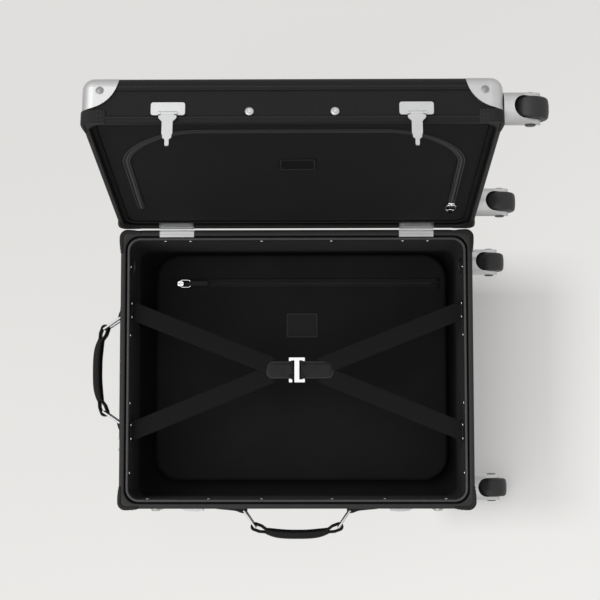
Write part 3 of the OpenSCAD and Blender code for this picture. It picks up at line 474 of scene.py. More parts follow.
# %% Hard finishes
def metal(name, color, rough=0.28, brushed=0.05, wear=0.03):
    """Satin plated metal: fine brushing along X, faint clouding and a little wear."""
    t = new_tree(name)
    fine = t.noise(t.place((0.15, 3, 3)), 1.2, 2)
    cloud = t.noise(t.place(), 0.06)
    speck = t.noise(t.place(), 1.4, 2)
    rgh = fine * brushed + cloud * (2 * wear) + (rough - brushed / 2 - wear)
    col = t.shades((cloud * 0.6 + speck * 0.4).clamp(0.25, 0.7), color, 0.9)
    return t.finish(col, rgh, t.bump(fine * 0.5 + speck * 0.5, 0.01 * MM, 0.4), Metallic=1.0)


def moulded(name, color, rough=0.5, gloss=0.4, texture=1.0):
    """Moulded plastic or rubber: a fine spark-eroded texture with faint scuffs."""
    t = new_tree(name)
    fine = t.noise(t.place(), 3.0, 2)
    scuff = t.noise(t.place((0.4, 1, 1)), 0.25, 4, 0.7)
    col = t.shades((scuff * 0.8 + fine * 0.3).clamp(0.3, 0.8), color, 0.8, 1.3)
    rgh = scuff * 0.18 + (rough - 0.09)
    return t.finish(col, rgh, t.bump(fine, 0.02 * texture * MM), Specular_IOR_Level=gloss)


# %% The case's own finishes
LEATHER = leather("black_leather", (0.0115, 0.0113, 0.0114), 1.0, 0.52, 0.12, 0.2)
GRIP_LEATHER = leather("grip_leather", (0.0055, 0.0054, 0.0055), 1.0, 0.5, 0.12, 0.16)
# The trim leather is a darker copy of the binding leather, and the darker tone is painted shade; it covers
# the lid's rim binding, the edge bindings and the pocket's pull.
LEATHER_TRIM = leather("trim_leather", (0.0078, 0.0076, 0.0077), 0.8, 0.5, 0.08, 0.17)
LEATHER_RIM = leather("rim_leather", (0.0135, 0.0132, 0.0134), 0.7, 0.45, 0.06, 0.3)
COVERING = leather("case_covering", (0.0085, 0.0084, 0.0085), 1.7, 0.55, 0.14, 0.16)
TWILL = twill("lining_twill", (0.0108, 0.0106, 0.0109))
# The lid's lining and divider take a darker copy of the lining twill: painted shade.
SHADED_TWILL = twill("lining_twill_painted_shade", (0.0030, 0.0029, 0.0031))
TAPE = twill("zip_tape", (0.0145, 0.0145, 0.015), 0.6)
WEBBING = webbing("webbing", (0.0060, 0.0059, 0.0062))
PIPING = leather("piping", (0.018, 0.018, 0.0183), 0.6, 0.5, 0.05, 0.3)
SATIN = metal("satin_metal", (0.54, 0.542, 0.545), 0.42)
BRIGHT = metal("bright_metal", (0.94, 0.942, 0.945), 0.16, 0.02, 0.02)
TUBE_METAL = metal("tube_metal", (0.6, 0.61, 0.62), 0.35)
SHADE_METAL = metal("painted_shade_metal", (0.35, 0.35, 0.36), 0.4)
RIVET_GREY = metal("cap_rivet_metal", (0.27, 0.27, 0.275), 0.5)
BEAD = moulded("rim_bead", (0.058, 0.058, 0.059), 0.42, 0.3)
NYLON = moulded("black_nylon", (0.022, 0.022, 0.023), 0.45)
TYRE = moulded("tyre_rubber", (0.0135, 0.0135, 0.014), 0.5, 0.4, 1.5)
# A near-black matte for the trolley's housing tubes that stands in for the shade they lie in: painted shade.
SHADE_BLACK = moulded("painted_shade_black", (0.004, 0.004, 0.004), 0.9, 0.1)
THREAD = thread("black_thread", (0.05, 0.05, 0.051))
THREAD_LIGHT = thread("grey_thread", (0.11, 0.11, 0.112))
TEETH = moulded("zip_teeth", (0.03, 0.03, 0.031), 0.35, 0.6)
print("materials", len(bpy.data.materials))

# %% [markdown]
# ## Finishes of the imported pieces
#
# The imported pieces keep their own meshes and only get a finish. Most metal parts share one satin plating,
# so the table names the others, and a name's ending tells the tyres and the black nylon parts of the
# casters.

# %% Finishes by name
FINISHES = {
    "base_shell": COVERING, "lid_shell": COVERING, "base_edge_binding": LEATHER_TRIM,
    "lid_edge_binding": LEATHER_TRIM, "base_rim_binding": LEATHER_RIM, "lid_rim_binding": LEATHER_TRIM,
    "base_rim_bead": BEAD, "base_lining": TWILL, "lid_lining": SHADED_TWILL, "lid_divider": SHADED_TWILL,
    "trolley_cover": TWILL, "pocket_zip": TAPE, "lid_zip": PIPING, "strap_bands": WEBBING,
    "strap_tabs": LEATHER, "strap_hook": BRIGHT, "handle_chapes": LEATHER, "housing_tubes": SHADE_BLACK,
    "middle_tubes": TUBE_METAL, "inner_tubes": TUBE_METAL, "trolley_bezel": NYLON, "trolley_grip": LEATHER,
    "front_grip": LEATHER, "end_grip": LEATHER, "base_rim_corners": LEATHER, "lid_rim_corners": LEATHER,
}


def clothe(obj, material):
    """Gives the whole object one material."""
    obj.data.materials.clear()
    obj.data.materials.append(material)
    return obj


def finish_by_ending(name):
    """Tyres, nylon caster parts, or the satin plating of every other fitting."""
    if name.endswith("_wheel"):
        return TYRE
    return NYLON if name.endswith(("_axle", "_caster_plates")) else SATIN


for name, obj in frame["nodes"].items():
    clothe(obj, FINISHES.get(name, finish_by_ending(name)))
print("packed pieces", len(frame["nodes"]))

# %% [markdown]
# ## Soft plates
#
# Flat leather pieces are cut from hide and their edges are rubbed round. A Bevel modifier could round a
# plate of any outline; here the outline is pulled in by a little at each level instead, which also lets a
# face swell or dip where it is sewn.

# %% Soft plate
def even_outline(points, spacing, rounds=2):
    """A closed outline with its corners cut at a fifth, then evenly spaced, running anticlockwise."""
    p = np.asarray(points, float)
    for _ in range(rounds):
        q = np.roll(p, -1, 0)
        p = np.stack([0.8 * p + 0.2 * q, 0.2 * p + 0.8 * q], 1).reshape(-1, 2)
    length = np.linalg.norm(np.roll(p, -1, 0) - p, axis=1).sum()
    q = resample(flat_line(p, 0), count=max(16, int(length / spacing)), closed=True)[0][:, :2]
    area = np.sum(q[:, 0] * np.roll(q[:, 1], -1) - q[:, 1] * np.roll(q[:, 0], -1))
    return q if area > 0 else q[::-1]


def soft_plate(name, outline, levels, place=None):
    """A closed piece from an outline: levels are (pull-in, height) pairs from one face to the other.

    The outline moves along its normal, which is its tangent (x, y) turned to (y, -x)."""
    line = np.asarray(outline, float)
    tangent = np.roll(line, -1, 0) - np.roll(line, 1, 0)
    normal = unit(np.stack([tangent[:, 1], -tangent[:, 0]], -1))
    pts = put(np.stack([flat_line(line - normal * pull, height) for pull, height in levels]), place)
    rows, cols = pts.shape[:2]
    faces = [tuple(f) for f in grid_faces(rows, cols, False, True)]
    faces += [tuple(range(cols)), tuple(range((rows - 1) * cols, rows * cols))]
    mesh = bpy.data.meshes.new(name)
    mesh.from_pydata([tuple(p) for p in pts.reshape(-1, 3)], [], faces)
    mesh.polygons.foreach_set("use_smooth", np.array([len(f) == 4 for f in faces]))
    mesh.update()
    return face_outwards(put_in_scene(name, mesh))


def edge_levels(low, high, round_r):
    """Levels of a plate with both edges rounded by quarter circles of radius round_r."""
    t = np.linspace(0, np.pi / 2, 5)
    up = [(round_r * (1 - math.sin(a)), low + round_r * (1 - math.cos(a))) for a in t]
    down = [(round_r * (1 - math.sin(a)), high - round_r * (1 - math.cos(a))) for a in t[::-1]]
    return up + down


def dress(obj, material, slot_name, body, *nodes):
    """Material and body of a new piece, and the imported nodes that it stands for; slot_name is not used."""
    clothe(obj, material)
    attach(obj, body)
    if nodes:
        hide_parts(*nodes)
    return obj


# %% [markdown]
# ## Lining, padded cover and divider
#
# The lining's wall stands in a few millimetres from the shell and is a little full of its padding. Cloth
# physics could puff it up, but a formula keeps its edge exactly on the rim. The cover over the trolley
# tubes is a box cushion: its face rises by h = c * (1 - (1 - d / w)^2) within the distance w of its edge.

# %% Linings
def tray_lining(name, depth, floor, place):
    """The wall, and a cove at its foot that follows a quarter circle of radius 16 down to the floor."""
    top = depth - LINING_DROP
    outer = 6.4 * MM
    sec = [(outer, floor - 1.5 * MM), (outer, top - 0.2 * MM), (11.9 * MM, top - 0.1 * MM),
           (12.6 * MM, top - 0.5 * MM)]
    sec += [((12.95 + 0.3 * math.sin(math.pi * k)) * MM, (top - 1.6 * MM) * (1 - k) + (floor + LINING_R) * k)
            for k in np.linspace(0, 1, 9)]
    sec += [(CAVITY_IN + LINING_R * (1 - math.cos(a)), floor + LINING_R * (1 - math.sin(a)))
            for a in np.linspace(0.14, np.pi / 2, 12)]
    sec += [(64 * MM, floor + 0.02 * MM), (64 * MM, floor - 1.5 * MM)]
    sec = np.array(sec)
    r = np.maximum(LINING_R + CAVITY_IN - sec[:, 0], 0.8 * MM)
    return loop_band(name, np.c_[sec, r], 20, place)


def cushion_panel(name, low_xy, high_xy, r, low, edge, crown, foot=None, place=None):
    """A closed flat cushion: straight sides, a rounded edge and a crowned face down to the centre line.

    A foot is (inset, height): the sides stand in by the inset up to that height. The face has a ripple of
    0.35 mm, sin(21 x + 2 sin(13 y)) * sin(17 y + 1.3)."""
    fall, edge_r, start = 16 * MM, 3.2 * MM, 3.4 * MM
    low_xy, high_xy = np.array(low_xy)[:2], np.array(high_xy)[:2]
    hx, hy = (high_xy - low_xy) / 2
    sec = [(hy * k, low) for k in (1.0, 0.6, 0.25)]
    if foot:
        back, rise = foot
        sec += [(back + 0.4 * MM, low), (back, low + 0.5 * MM), (back, low + rise - 0.4 * MM)]
        low = low + rise
    sec += [(0.6 * MM, low), (0, low + 0.8 * MM)]
    sec += [(0, low + (edge - low) * k) for k in (0.4, 0.75)]
    sec += [(edge_r * (1 - math.cos(a)), edge - edge_r * (1 - math.sin(a)))
            for a in np.linspace(0, np.pi / 2, 6)]
    sec += [(d, edge + crown * (1 - (1 - min(1, d / fall)) ** 2))
            for d in start + (hy - start) * np.linspace(0, 1, 26) ** 1.7]
    inset, height = np.array(sec).T
    radius = np.minimum(np.maximum(r - inset, 0.2 * MM), np.maximum(hy - inset, 0))
    pts = at_heights(rounded_loop(hx - inset, hy - inset, radius, 10, 40), height)
    x, y = pts[..., 0], pts[..., 1]
    ripple = np.sin(x * 21 + 2 * np.sin(y * 13)) * np.sin(y * 17 + 1.3) * 0.35 * MM
    inner = np.clip((inset - 8 * MM) / (20 * MM), 0, 1) * (height > edge - 0.1 * MM)
    pts[..., 2] += ripple * inner[:, None]
    pts[..., :2] += (high_xy + low_xy) / 2
    return face_outwards(make_mesh(name, put(pts, place), grid_faces(*pts.shape[:2], False, True)), 2e-5)


base_lining = tray_lining("lining_of_base", BASE_DEPTH, BASE_FLOOR, None)
dress(base_lining, TWILL, "lining", "base", "base_lining")
lid_lining = tray_lining("lining_of_lid", LID_DEPTH, 8.6 * MM, into_lid)
dress(lid_lining, SHADED_TWILL, "lining", "lid", "lid_lining")

cover = cushion_panel("padded_trolley_cover", cover_low, cover_high, 35 * MM, BASE_FLOOR + 0.2 * MM,
                      COVER_TOP - 0.9 * MM, 0.7 * MM, (10 * MM, 7 * MM))
dress(cover, TWILL, "lining", "base", "trolley_cover")

panel_reach = np.array([HALF_CX + 0.2 * MM, HALF_CY + 0.2 * MM])
divider = cushion_panel("divider_panel", -panel_reach, panel_reach, LINING_R, PANEL_Z - 3.4 * MM,
                        PANEL_Z - 0.4 * MM, 0.4 * MM, place=into_lid)
dress(divider, SHADED_TWILL, "lining", "lid", "lid_divider")
print("lining points", len(base_lining.data.vertices), "cover points", len(cover.data.vertices))

# %% [markdown]
# ## Leather bindings of the rims
#
# The binding folds over the rim: a skirt outside, a flat top, and a short return inside. One section swept
# round the half would do, were it not for the hinges. Where a hinge leaf lies in the binding, a second
# section with the same number of points takes over, cut back for the leaf and its knuckle, and beside it
# the leather swells a little.

# %% Rim bindings and bead
HINGE_X, HINGE_HALF = 167.7 * MM, 24 * MM
PLAIN_RIM = [(0, 9), (0, 6), (0, 3), (0.02, 1.7), (0.3, 0.9), (0.9, 0.42), (1.8, 0.24), (3.5, 0.2),
             (5.2, 0.24), (6.1, 0.42), (6.75, 0.9), (7.0, 1.7), (7.0, 3), (7.0, 6), (6.3, 6), (6.3, 1.45),
             (1.3, 1.45), (1.3, 9)]
HINGE_RIM = [(0, 9), (0, 6), (0.2, 5.1), (2.1, 5.05), (2.1, 1.6), (2.12, 1.5), (2.2, 1.44), (3.5, 1.43),
             (5.2, 1.43), (6.1, 1.43), (6.8, 1.5), (7.0, 1.7), (7.0, 3), (7.0, 6), (6.3, 6), (6.3, 1.9),
             (2.6, 1.9), (2.6, 9)]


def rim_surface(section, depth, xs, ys):
    """A section of (inset, depth below the rim) rows in mm, swept round a half through the given xs and ys.

    The corner radius runs evenly from the case's own at inset 0 to the lining's at the band's inner edge."""
    inset, drop = np.array(section).T * MM
    radius = EDGE_R + inset * (RIM_INNER_R - EDGE_R) / RIM_BAND
    r, side_x, side_y = [v[:, None] for v in (radius, HALF_L - inset, HALF_W - inset)]
    loop = []
    for q, (sx, sy) in enumerate(QUARTERS):
        t = np.radians(90 * q) + np.linspace(0, np.pi / 2, 11)
        arc = [sx * (side_x - r) + r * np.cos(t), sy * (side_y - r) + r * np.sin(t)]
        run = [xs[None] * sy, sy * side_y] if q % 2 == 0 else [sx * side_x, ys[None] * sy]
        loop += [np.stack(arc, -1), np.stack(np.broadcast_arrays(*run), -1)]
    return at_heights(np.concatenate(loop, 1), depth - drop)


def rim_binding(name, depth, place):
    """The plain section all round, the cut one at the hinges, and the swell on the hinge side."""
    hinge_edges = [s * HINGE_X + e * (HINGE_HALF + gap * MM)
                   for s in (-1, 1) for e in (-1, 1) for gap in (0.3, 0.32)]
    flat = HALF_L - 22 * MM
    xs = np.sort(np.concatenate([hinge_edges, np.linspace(-flat, flat, 44)[1:-1]]))[::-1]
    ys = np.linspace(1, -1, 36)[1:-1] * (HALF_W - 22 * MM)
    plain, cut = [rim_surface(section, depth, xs, ys) for section in (PLAIN_RIM, HINGE_RIM)]
    x, y = plain[0, :, 0], plain[0, :, 1]
    at_back = y > HALF_W - 1 * MM
    at_hinge = (np.abs(np.abs(x) - HINGE_X) < HINGE_HALF + 0.31 * MM) & at_back
    swell = np.array([0, 1, 1, 1, 0.85, 0.4] + [0] * 12)
    inner = np.clip((HALF_L - 12 * MM - np.abs(x)) / (8 * MM), 0, 1) * at_back
    plain[..., 1] += HINGE_WELT * swell[:, None] * inner
    pts = np.where(at_hinge[None, :, None], cut, plain)
    return face_outwards(make_mesh(name, put(pts, place), grid_faces(*pts.shape[:2], True, True)), 1e-7)


base_rim = rim_binding("rim_binding_of_base", BASE_DEPTH, None)
lid_rim = rim_binding("rim_binding_of_lid", LID_DEPTH, into_lid)
dress(base_rim, LEATHER_RIM, "leather", "base", "base_rim_binding")
dress(lid_rim, LEATHER_TRIM, "leather", "lid", "lid_rim_binding")

BEAD_TOP = BASE_DEPTH - 1 * MM
bead_section = [(9.0, 4.6), (9.05, 1.6), (9.35, 0.7), (10.0, 0.12), (10.9, -0.05), (11.8, 0.12), (12.4, 0.7),
                (12.7, 1.6), (12.75, 4.6)]
bead_rows = [(i * MM, BEAD_TOP - drop * MM, LINING_R + (11.7 - i) * MM) for i, drop in bead_section]
bead = loop_band("bead_inside_the_rim", bead_rows, 30)
dress(bead, BEAD, "bead", "base", "base_rim_bead")

# %% [markdown]
# ## Leather patches of the rim corners
#
# Each rim corner has a second leather sewn round it. It could be a thickened copy of the corner's faces,
# but its edge thins out where it lies on the wall, so the outline is pushed out by a sine of the way along
# it. The patches beside the casters are cut away round the caster plates.

# %% Corner patches
plates_low, plates_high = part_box("base_caster_plates")
PLATE_HALF = 19 * MM
CASTER_Y = {-1: plates_low.y + PLATE_HALF, 1: plates_high.y - PLATE_HALF}
BASE_PATCH_DROP = 25 * MM
LID_PATCH_DROP = LID_DEPTH - CAP_R - 0.3 * MM


def corner_patch(name, depth, drop, sx, sy, place, seat=None):
    """A leather patch round one rim corner: the outline pushed out by t * sin(pi s / 2), s from each end.

    Its own corner is tighter than the case's, and its top folds in over the rim."""
    run_x, run_y, t, r = 28 * MM, 31 * MM, 2.2 * MM, 9 * MM
    edge = np.linspace(0, 1, 12)
    a = np.linspace(0, np.pi / 2, 13)
    arc = np.stack([np.cos(a), np.sin(a)], -1)
    end_wall = np.stack([np.full(11, HALF_L), HALF_W - run_y + edge[:-1] * (run_y - r)], -1)
    long_wall = np.stack([HALF_L - r - edge[1:] * (run_x - r), np.full(11, HALF_W)], -1)
    p = np.concatenate([end_wall, [HALF_L - r, HALF_W - r] + r * arc, long_wall])
    n = np.concatenate([[(1, 0)] * 11, arc, [(0, 1)] * 11])
    s = np.concatenate([[0], np.cumsum(np.linalg.norm(np.diff(p, axis=0), axis=1))])
    k = np.sin(np.clip(np.minimum(s, s[-1] - s) / (18 * MM), 0.03, 1) * np.pi / 2)
    low = drop / MM
    push, down = np.array([(-1.6, 0.9), (-1.6, 0.1), (-0.4, 0.08), (0.4, 0.2), (0.8, 0.55), (1.0, 1.2),
                           (1.02, 2.4), (1.0, low - 2.5), (0.9, low - 0.8), (0.5, low - 0.1), (-0.3, low)]).T
    out = push[:, None] * np.where(push[:, None] > 0, k[None], 1) * t
    z = np.broadcast_to((depth - down * MM)[:, None], out.shape)
    xy = p[None] + n[None] * out[..., None]
    if seat is not None:
        away = np.sqrt(np.maximum(0, (PLATE_HALF + 0.6 * MM) ** 2 - (sy * xy[..., 1] - CASTER_Y[sy]) ** 2))
        z = np.maximum(z, np.where(xy[..., 0] > HALF_L - 4 * MM, seat + away, 0))
        z = np.minimum(z, depth - down[:, None].clip(0, 0.5) * MM)
    full = np.stack([xy[..., 0] * sx, xy[..., 1] * sy, z], -1)
    patch = make_mesh(name, put(full, place), grid_faces(*full.shape[:2], True, False))
    return face_outwards(patch, 1e-7, fill=True)


CORNERS = [(sx, sy) for sx in (-1, 1) for sy in (-1, 1)]
for half, depth, drop, place, plate_seat in (
        ("base", BASE_DEPTH, BASE_PATCH_DROP, None, None),
        ("lid", LID_DEPTH, LID_PATCH_DROP, into_lid, LID_DEPTH - 28 * MM)):
    for sx, sy in CORNERS:
        seat = plate_seat if sx > 0 else None
        patch = corner_patch("corner_patch_%s_%d_%d" % (half, sx, sy), depth, drop, sx, sy, place, seat)
        dress(patch, LEATHER, "leather", half, half + "_rim_corners")
print("corner patches", 2 * len(CORNERS))

# %% [markdown]
# ## Cross straps and their tabs
#
# A band comes down the wall, turns in over a small bend and runs to its tab with a slight sag. A simulated
# ribbon would hang much the same; a formula is enough, because the bands are held at both ends. Each tab is
# leather folded round the clasp's bar.

# %% Straps
CLASP_Z = 112 * MM
BAND_W, BAND_T = 25.2 * MM, 1.5 * MM
STRAPS = ((83 * MM, 5 * MM, 0.8 * MM), (-87 * MM, -5 * MM, -0.8 * MM))


def strap_band(name, sx, anchor_y, join_y, lift):
    """Down the wall, round a quarter bend, and to the tab on a line that sags by 6.4 s (1 - s) mm."""
    top = np.array([HALF_CX - 1.0 * MM, anchor_y, 143.4 * MM])
    bend_r = np.array([0, 0, 2.2 * MM])
    turn_at = np.array([top[0], anchor_y, 132.4 * MM])
    end = np.array([34 * MM, join_y, CLASP_Z + lift])
    run = end - turn_at + bend_r
    across = unit([-run[1], run[0], 0])
    across = across * np.sign(across[1])
    k = np.linspace(0, 1, 6)[:, None]
    down = top + (turn_at - top) * k
    k = np.linspace(0, 1, 8)[1:, None]
    bend = turn_at + unit(run) * 3.0 * MM * (1 - np.cos(k * np.pi / 2)) - bend_r * np.sin(k * np.pi / 2)
    turning = unit((1 - k) * np.array([0, 1, 0]) + k * across)
    k = np.linspace(0, 1, 40)[1:, None]
    flat = bend[-1] + (end - bend[-1]) * k - np.array([0, 0, 6.4 * MM]) * k * (1 - k)
    at_wall, at_tab = np.broadcast_to((0, 1, 0), down.shape), np.broadcast_to(across, flat.shape)
    mirror = [sx, 1, 1]
    path = np.concatenate([down, bend, flat]) * mirror
    side = np.concatenate([at_wall, turning, at_tab]) * mirror
    return carry(name, path, side, flat_oval(BAND_W, BAND_T))


for sx in (-1, 1):
    for anchor_y, join_y, lift in STRAPS:
        band = strap_band("strap_%d_%d" % (sx, round(anchor_y * 1000)), sx, anchor_y, join_y, lift)
        dress(band, WEBBING, "webbing", "base", "strap_bands")

# %% Leather tabs
TABS = ((-1, "left", 33.5 * MM), (1, "right", 42.5 * MM))
TAB_W, TAB_TIP, BAR_SIDE = 12.8 * MM, 10.4 * MM, 6.4 * MM
TAB_HALF = [(0.5, 0), (0.1, 0.5), (0, 1.0), (0.15, 1.5), (0.6, 1.75), (1.5, 1.85), (2.1, 1.72), (2.7, 1.9),
            (3.6, 2.4), (5.2, 2.68), (7.5, 2.78)]


def tab_end(reach, inset=0.0):
    """A tab's rounded end less the inset: x = reach + a |cos t|^0.8, y = b |sin t|^0.8 with its sign."""
    t = np.linspace(-np.pi / 2, np.pi / 2, 25)
    x = reach + (TAB_TIP - inset) * np.abs(np.cos(t)) ** 0.8
    y = (TAB_W - inset) * np.sign(t) * np.abs(np.sin(t)) ** 0.8
    return list(zip(x, y))


def leather_tab(name, sx, reach):
    """Levels from a nearly flat middle to a cut edge two leathers thick, with a dip along the seam."""
    bar_side = [(BAR_SIDE - 0.4 * MM, TAB_W * k) for k in (0.92, 0.5, 0, -0.5, -0.92)]
    bar_side = [(BAR_SIDE, TAB_W)] + bar_side + [(BAR_SIDE, -TAB_W)]
    line = even_outline(tab_end(reach) + bar_side, 1.4 * MM, 1)
    levels = [(p * MM, CLASP_Z - z * MM) for p, z in TAB_HALF[::-1]]
    levels += [(p * MM, CLASP_Z + z * MM) for p, z in TAB_HALF[1:]]

    def thicker_at_bar(p):
        """A quarter thicker from 12 mm to 6 mm from the middle, and mirrored for the left tab."""
        near = np.clip((12 * MM - p[..., 0]) / (6 * MM), 0, 1)
        z = CLASP_Z + (p[..., 2] - CLASP_Z) * (1 + 0.25 * near)
        return np.stack([p[..., 0] * sx, p[..., 1], z], -1)
    return soft_plate(name, line, levels, thicker_at_bar)


for sx, side, reach in TABS:
    dress(leather_tab("strap_tab_" + side, sx, reach), LEATHER, "leather", "base", "strap_tabs")
print("bands and tabs", 2 * len(STRAPS) + len(TABS))

# %% [markdown]
# ## Carry handles
#
# The grip is a bow with a rounded section 22 high and 13 thick. At each end two layers of leather part, run
# round the ring's bar and come back: a band swept along a slot-shaped path. The chapes are pads that wrap
# the ring's wall bar. Both handles are drawn once, beside the origin, and one function each puts them on
# their walls.

# %% Handle frames
HANDLE_Z = 102 * MM
RING_X, BAR_OFF, RING_LEN, LEAN = 74 * MM, 4.2 * MM, 27.5 * MM, math.radians(34)
GRIP_X = RING_X - RING_LEN * math.sin(LEAN)
GRIP_Y = -BAR_OFF - RING_LEN * math.cos(LEAN)
EYE_L, EYE_X, EYE_R = 16.5 * MM, 0.7 * MM, 4.2 * MM
EYE_AXIS = np.array([math.cos(math.radians(20)), math.sin(math.radians(20))])


def at_front(p):
    """Handle coordinates (x along the wall, y out of it as -y) on the front wall."""
    return np.stack([p[..., 0], p[..., 1] - HALF_W, p[..., 2] + HANDLE_Z], -1)


def at_end(p):
    """The same on the left end wall: a turn by -90 degrees about Z."""
    return np.stack([p[..., 1] - HALF_L, -p[..., 0], p[..., 2] + HANDLE_Z], -1)


# %% Handles
def chape(name, s, place):
    """A pad that follows the ring's wall bar round an arc of 3.8 mm, then tapers away along the wall."""
    r, back = 3.8, 0.4
    bar = -BAR_OFF / MM
    arc = [(r * math.cos(a), bar + r * math.sin(a)) for a in np.radians(np.arange(180, 275, 10))]
    line = [(-r, back)] + arc + [(5, bar - 3.1), (12, -4.4), (24, -3.2), (37, -2.1), (41, -1.2), (41.8, back)]
    line += [(x, back) for x in (34, 26, 18, 10, 3)]
    line = (np.array(line) * MM + [RING_X, 0]) * [s, 1]
    return soft_plate(name, even_outline(line, 1.3 * MM, 1), edge_levels(-11 * MM, 11 * MM, 1.1 * MM), place)


def grip_bow(name):
    """A bow y = -b (1 - |x / c|^2.8) for half chord c and rise b, thinner towards its ends."""
    chord, root_y = np.array([GRIP_X, GRIP_Y]) - (EYE_L - 1.5 * MM) * EYE_AXIS
    bow = 5.4 * MM
    xs = np.linspace(-1, 1, 61) * chord
    path = np.stack([xs, root_y - bow * (1 - np.abs(xs / chord) ** 2.8), np.zeros(61)], -1)
    away = np.clip((chord - np.abs(xs)) / (22 * MM), 0, 1)
    thick = 0.64 + 0.36 * (1 - (1 - away) ** 2)
    end = np.clip((chord - np.abs(xs)) / (1.6 * MM), 0, 1) ** 0.5
    scale = np.stack([thick * (0.8 + 0.2 * end), 0.955 + 0.045 * away], -1)
    return carry(name, path, (0, 1, 0), superellipse(12.8 * MM, 21.8 * MM, 2.5, 3.2, 40), scale=scale)


def grip_eye(name, s):
    """Two leathers that part, run round the ring's bar on a half circle and come back into the grip.

    Along the eye's own axis their distance from it falls evenly from the circle's radius to 2 mm."""
    t = np.linspace(0, np.pi, 17)
    turn = np.stack([EYE_X + EYE_R * np.sin(t), -EYE_R * np.cos(t)], -1)
    back = np.linspace(EYE_X, -EYE_L - 3 * MM, 18)[1:]
    off = EYE_R + (2 * MM - EYE_R) * np.clip((EYE_X - 8.5 * MM - back) / (EYE_L - 9 * MM), 0, 1)
    u, v = np.concatenate([np.stack([back, -off], -1)[::-1], turn, np.stack([back, off], -1)]).T
    x = GRIP_X + u * EYE_AXIS[0] - v * EYE_AXIS[1]
    y = GRIP_Y + u * EYE_AXIS[1] + v * EYE_AXIS[0]
    return carry(name, np.stack([x * s, y, 0 * x], -1), (0, 0, 1), flat_oval(21.4 * MM, 3.9 * MM))


for where, place in (("front", at_front), ("end", at_end)):
    for s, side in ((-1, "left"), (1, "right")):
        dress(chape("%s_chape_%s" % (where, side), s, place), LEATHER, "leather", "base", "handle_chapes")
    grip = where + "_handle_grip"
    for part in [grip_bow(grip)] + [grip_eye(grip + "_loop_%d" % s, s) for s in (-1, 1)]:
        dress(move_mesh(part, place), GRIP_LEATHER, "leather", where + "_grip", where + "_grip")
print("grip's end from the wall's middle", round(GRIP_X, 4), "out of the wall", round(-GRIP_Y, 4))

# %% [markdown]
# ## Zips
#
# A zip's tape is a thin strip and its teeth are small blobs set in two rows half a pitch apart. A picture
# of teeth would be lighter, but the light catches real ones. The pocket's zip is a straight line with a lip
# of lining on both sides, and its slider moves with its own body.

# %% Zip of the cover's pocket
TEETH_PITCH = 1.7 * MM
zip_low, zip_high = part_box("pocket_zip")
ZIP_Y = (zip_low.y + zip_high.y) / 2


def teeth_row(name, path, gap, height):
    """Two rows of teeth along a level path, offset from each other by half a pitch."""
    at, along = resample(path, TEETH_PITCH)
    up = np.array([0, 0, 1.0])
    across = unit(np.cross(up, along))
    shift = np.where(np.arange(len(at)) % 2 == 0, gap, -gap)[:, None]
    verts, faces = blob(1.15 * MM, 2.9 * MM, 1.3 * MM)
    seats = at + across * shift + up * height
    return scatter(name, verts, faces, seats, along, np.broadcast_to(up, at.shape))


tape_line = np.c_[np.linspace(zip_low.x, zip_high.x, 60), np.full(60, ZIP_Y)]
tape_line = flat_line(tape_line, COVER_TOP + 0.35 * MM)
for s in (-1, 1):
    for part, shift, section, finish in (
            ("tape", [0, s * 4.1 * MM, 0], flat_oval(5.4 * MM, 0.7 * MM), TAPE),
            ("lip", [0, s * 6.6 * MM, 0.3 * MM], flat_oval(2.2 * MM, 1.4 * MM, 2.4, 12), TWILL)):
        strip = carry("pocket_zip_%s_%d" % (part, s), tape_line + shift, (0, 1, 0), section)
        dress(strip, finish, "lining", "base", "pocket_zip")
pocket_teeth = teeth_row("pocket_zip_teeth", tape_line[2:-2], 0.8 * MM, 0.75 * MM)
dress(pocket_teeth, TEETH, "lining", "base", "pocket_zip")


def slider_parts(name, x, y, z, s=1.0):
    """Slider body, arched bridge and rounded link, drawn along +X from x on top of teeth at height z."""
    k = s * MM
    outline = [(x + u * k, y + v * k) for u, v in ((0, -3), (3, -4), (9, -3.2), (9, 3.2), (3, 4), (0, 3))]
    body = soft_plate(name + "_body", even_outline(outline, 0.6 * MM), edge_levels(z, z + 1.7 * MM, 0.6 * MM))
    a = np.linspace(0, np.pi, 12)
    arch = np.stack([x + (4.5 - 3.0 * np.cos(a)) * k, np.full(12, y), z + (1.2 + 2.0 * np.sin(a)) * MM], -1)
    bridge = carry(name + "_bridge", arch, (0, 1, 0), flat_oval(2.4 * MM, 0.9 * MM, 2.5, 12))
    ring = flat_line(rounded_loop(7.5 * k, 5.2 * k, 3.0 * k, 6, 3)[0] + [x + 11.5 * k, y], z + 2.6 * MM)
    link = carry(name + "_link", ring, (0, 0, 1), flat_oval(1.1 * MM, 1.3 * MM, 2.2, 10), closed_path=True)
    return [body, bridge, link]


slider_low, slider_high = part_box("pocket_slider")
for part in slider_parts("pocket_slider", slider_low.x, ZIP_Y, slider_low.z + 1.2 * MM):
    dress(part, BRIGHT, "fitting", "pocket_slider", "pocket_slider")
pull_r, pull_half, pull_z = 3.8 * MM, 3.5 * MM, slider_high.z - 1.7 * MM
pull_start, pull_turn = slider_low.x + 15.5 * MM, slider_high.x - pull_r
pull_outline = [(pull_turn + pull_r * math.cos(a), ZIP_Y + pull_r * math.sin(a))
                for a in np.linspace(-np.pi / 2, np.pi / 2, 12)]
pull_outline = [(pull_start, ZIP_Y - pull_half)] + pull_outline + [(pull_start, ZIP_Y + pull_half)]
pull = soft_plate("pocket_pull", even_outline(pull_outline, 0.8 * MM, 1),
                  edge_levels(pull_z - 1.2 * MM, pull_z + 1.4 * MM, 0.6 * MM))
dress(pull, LEATHER_TRIM, "leather", "pocket_slider", "pocket_slider")
print("pocket zip", round(zip_high.x - zip_low.x, 4))

# %% [markdown]
# ## Zip of the lid's panel
#
# On the lid the zip runs round three sides of the panel under a double piping, so the same line carries two
# cords, the tape and the teeth. Its corners are wider than they are high, which a superellipse with an
# exponent near a circle's gives.

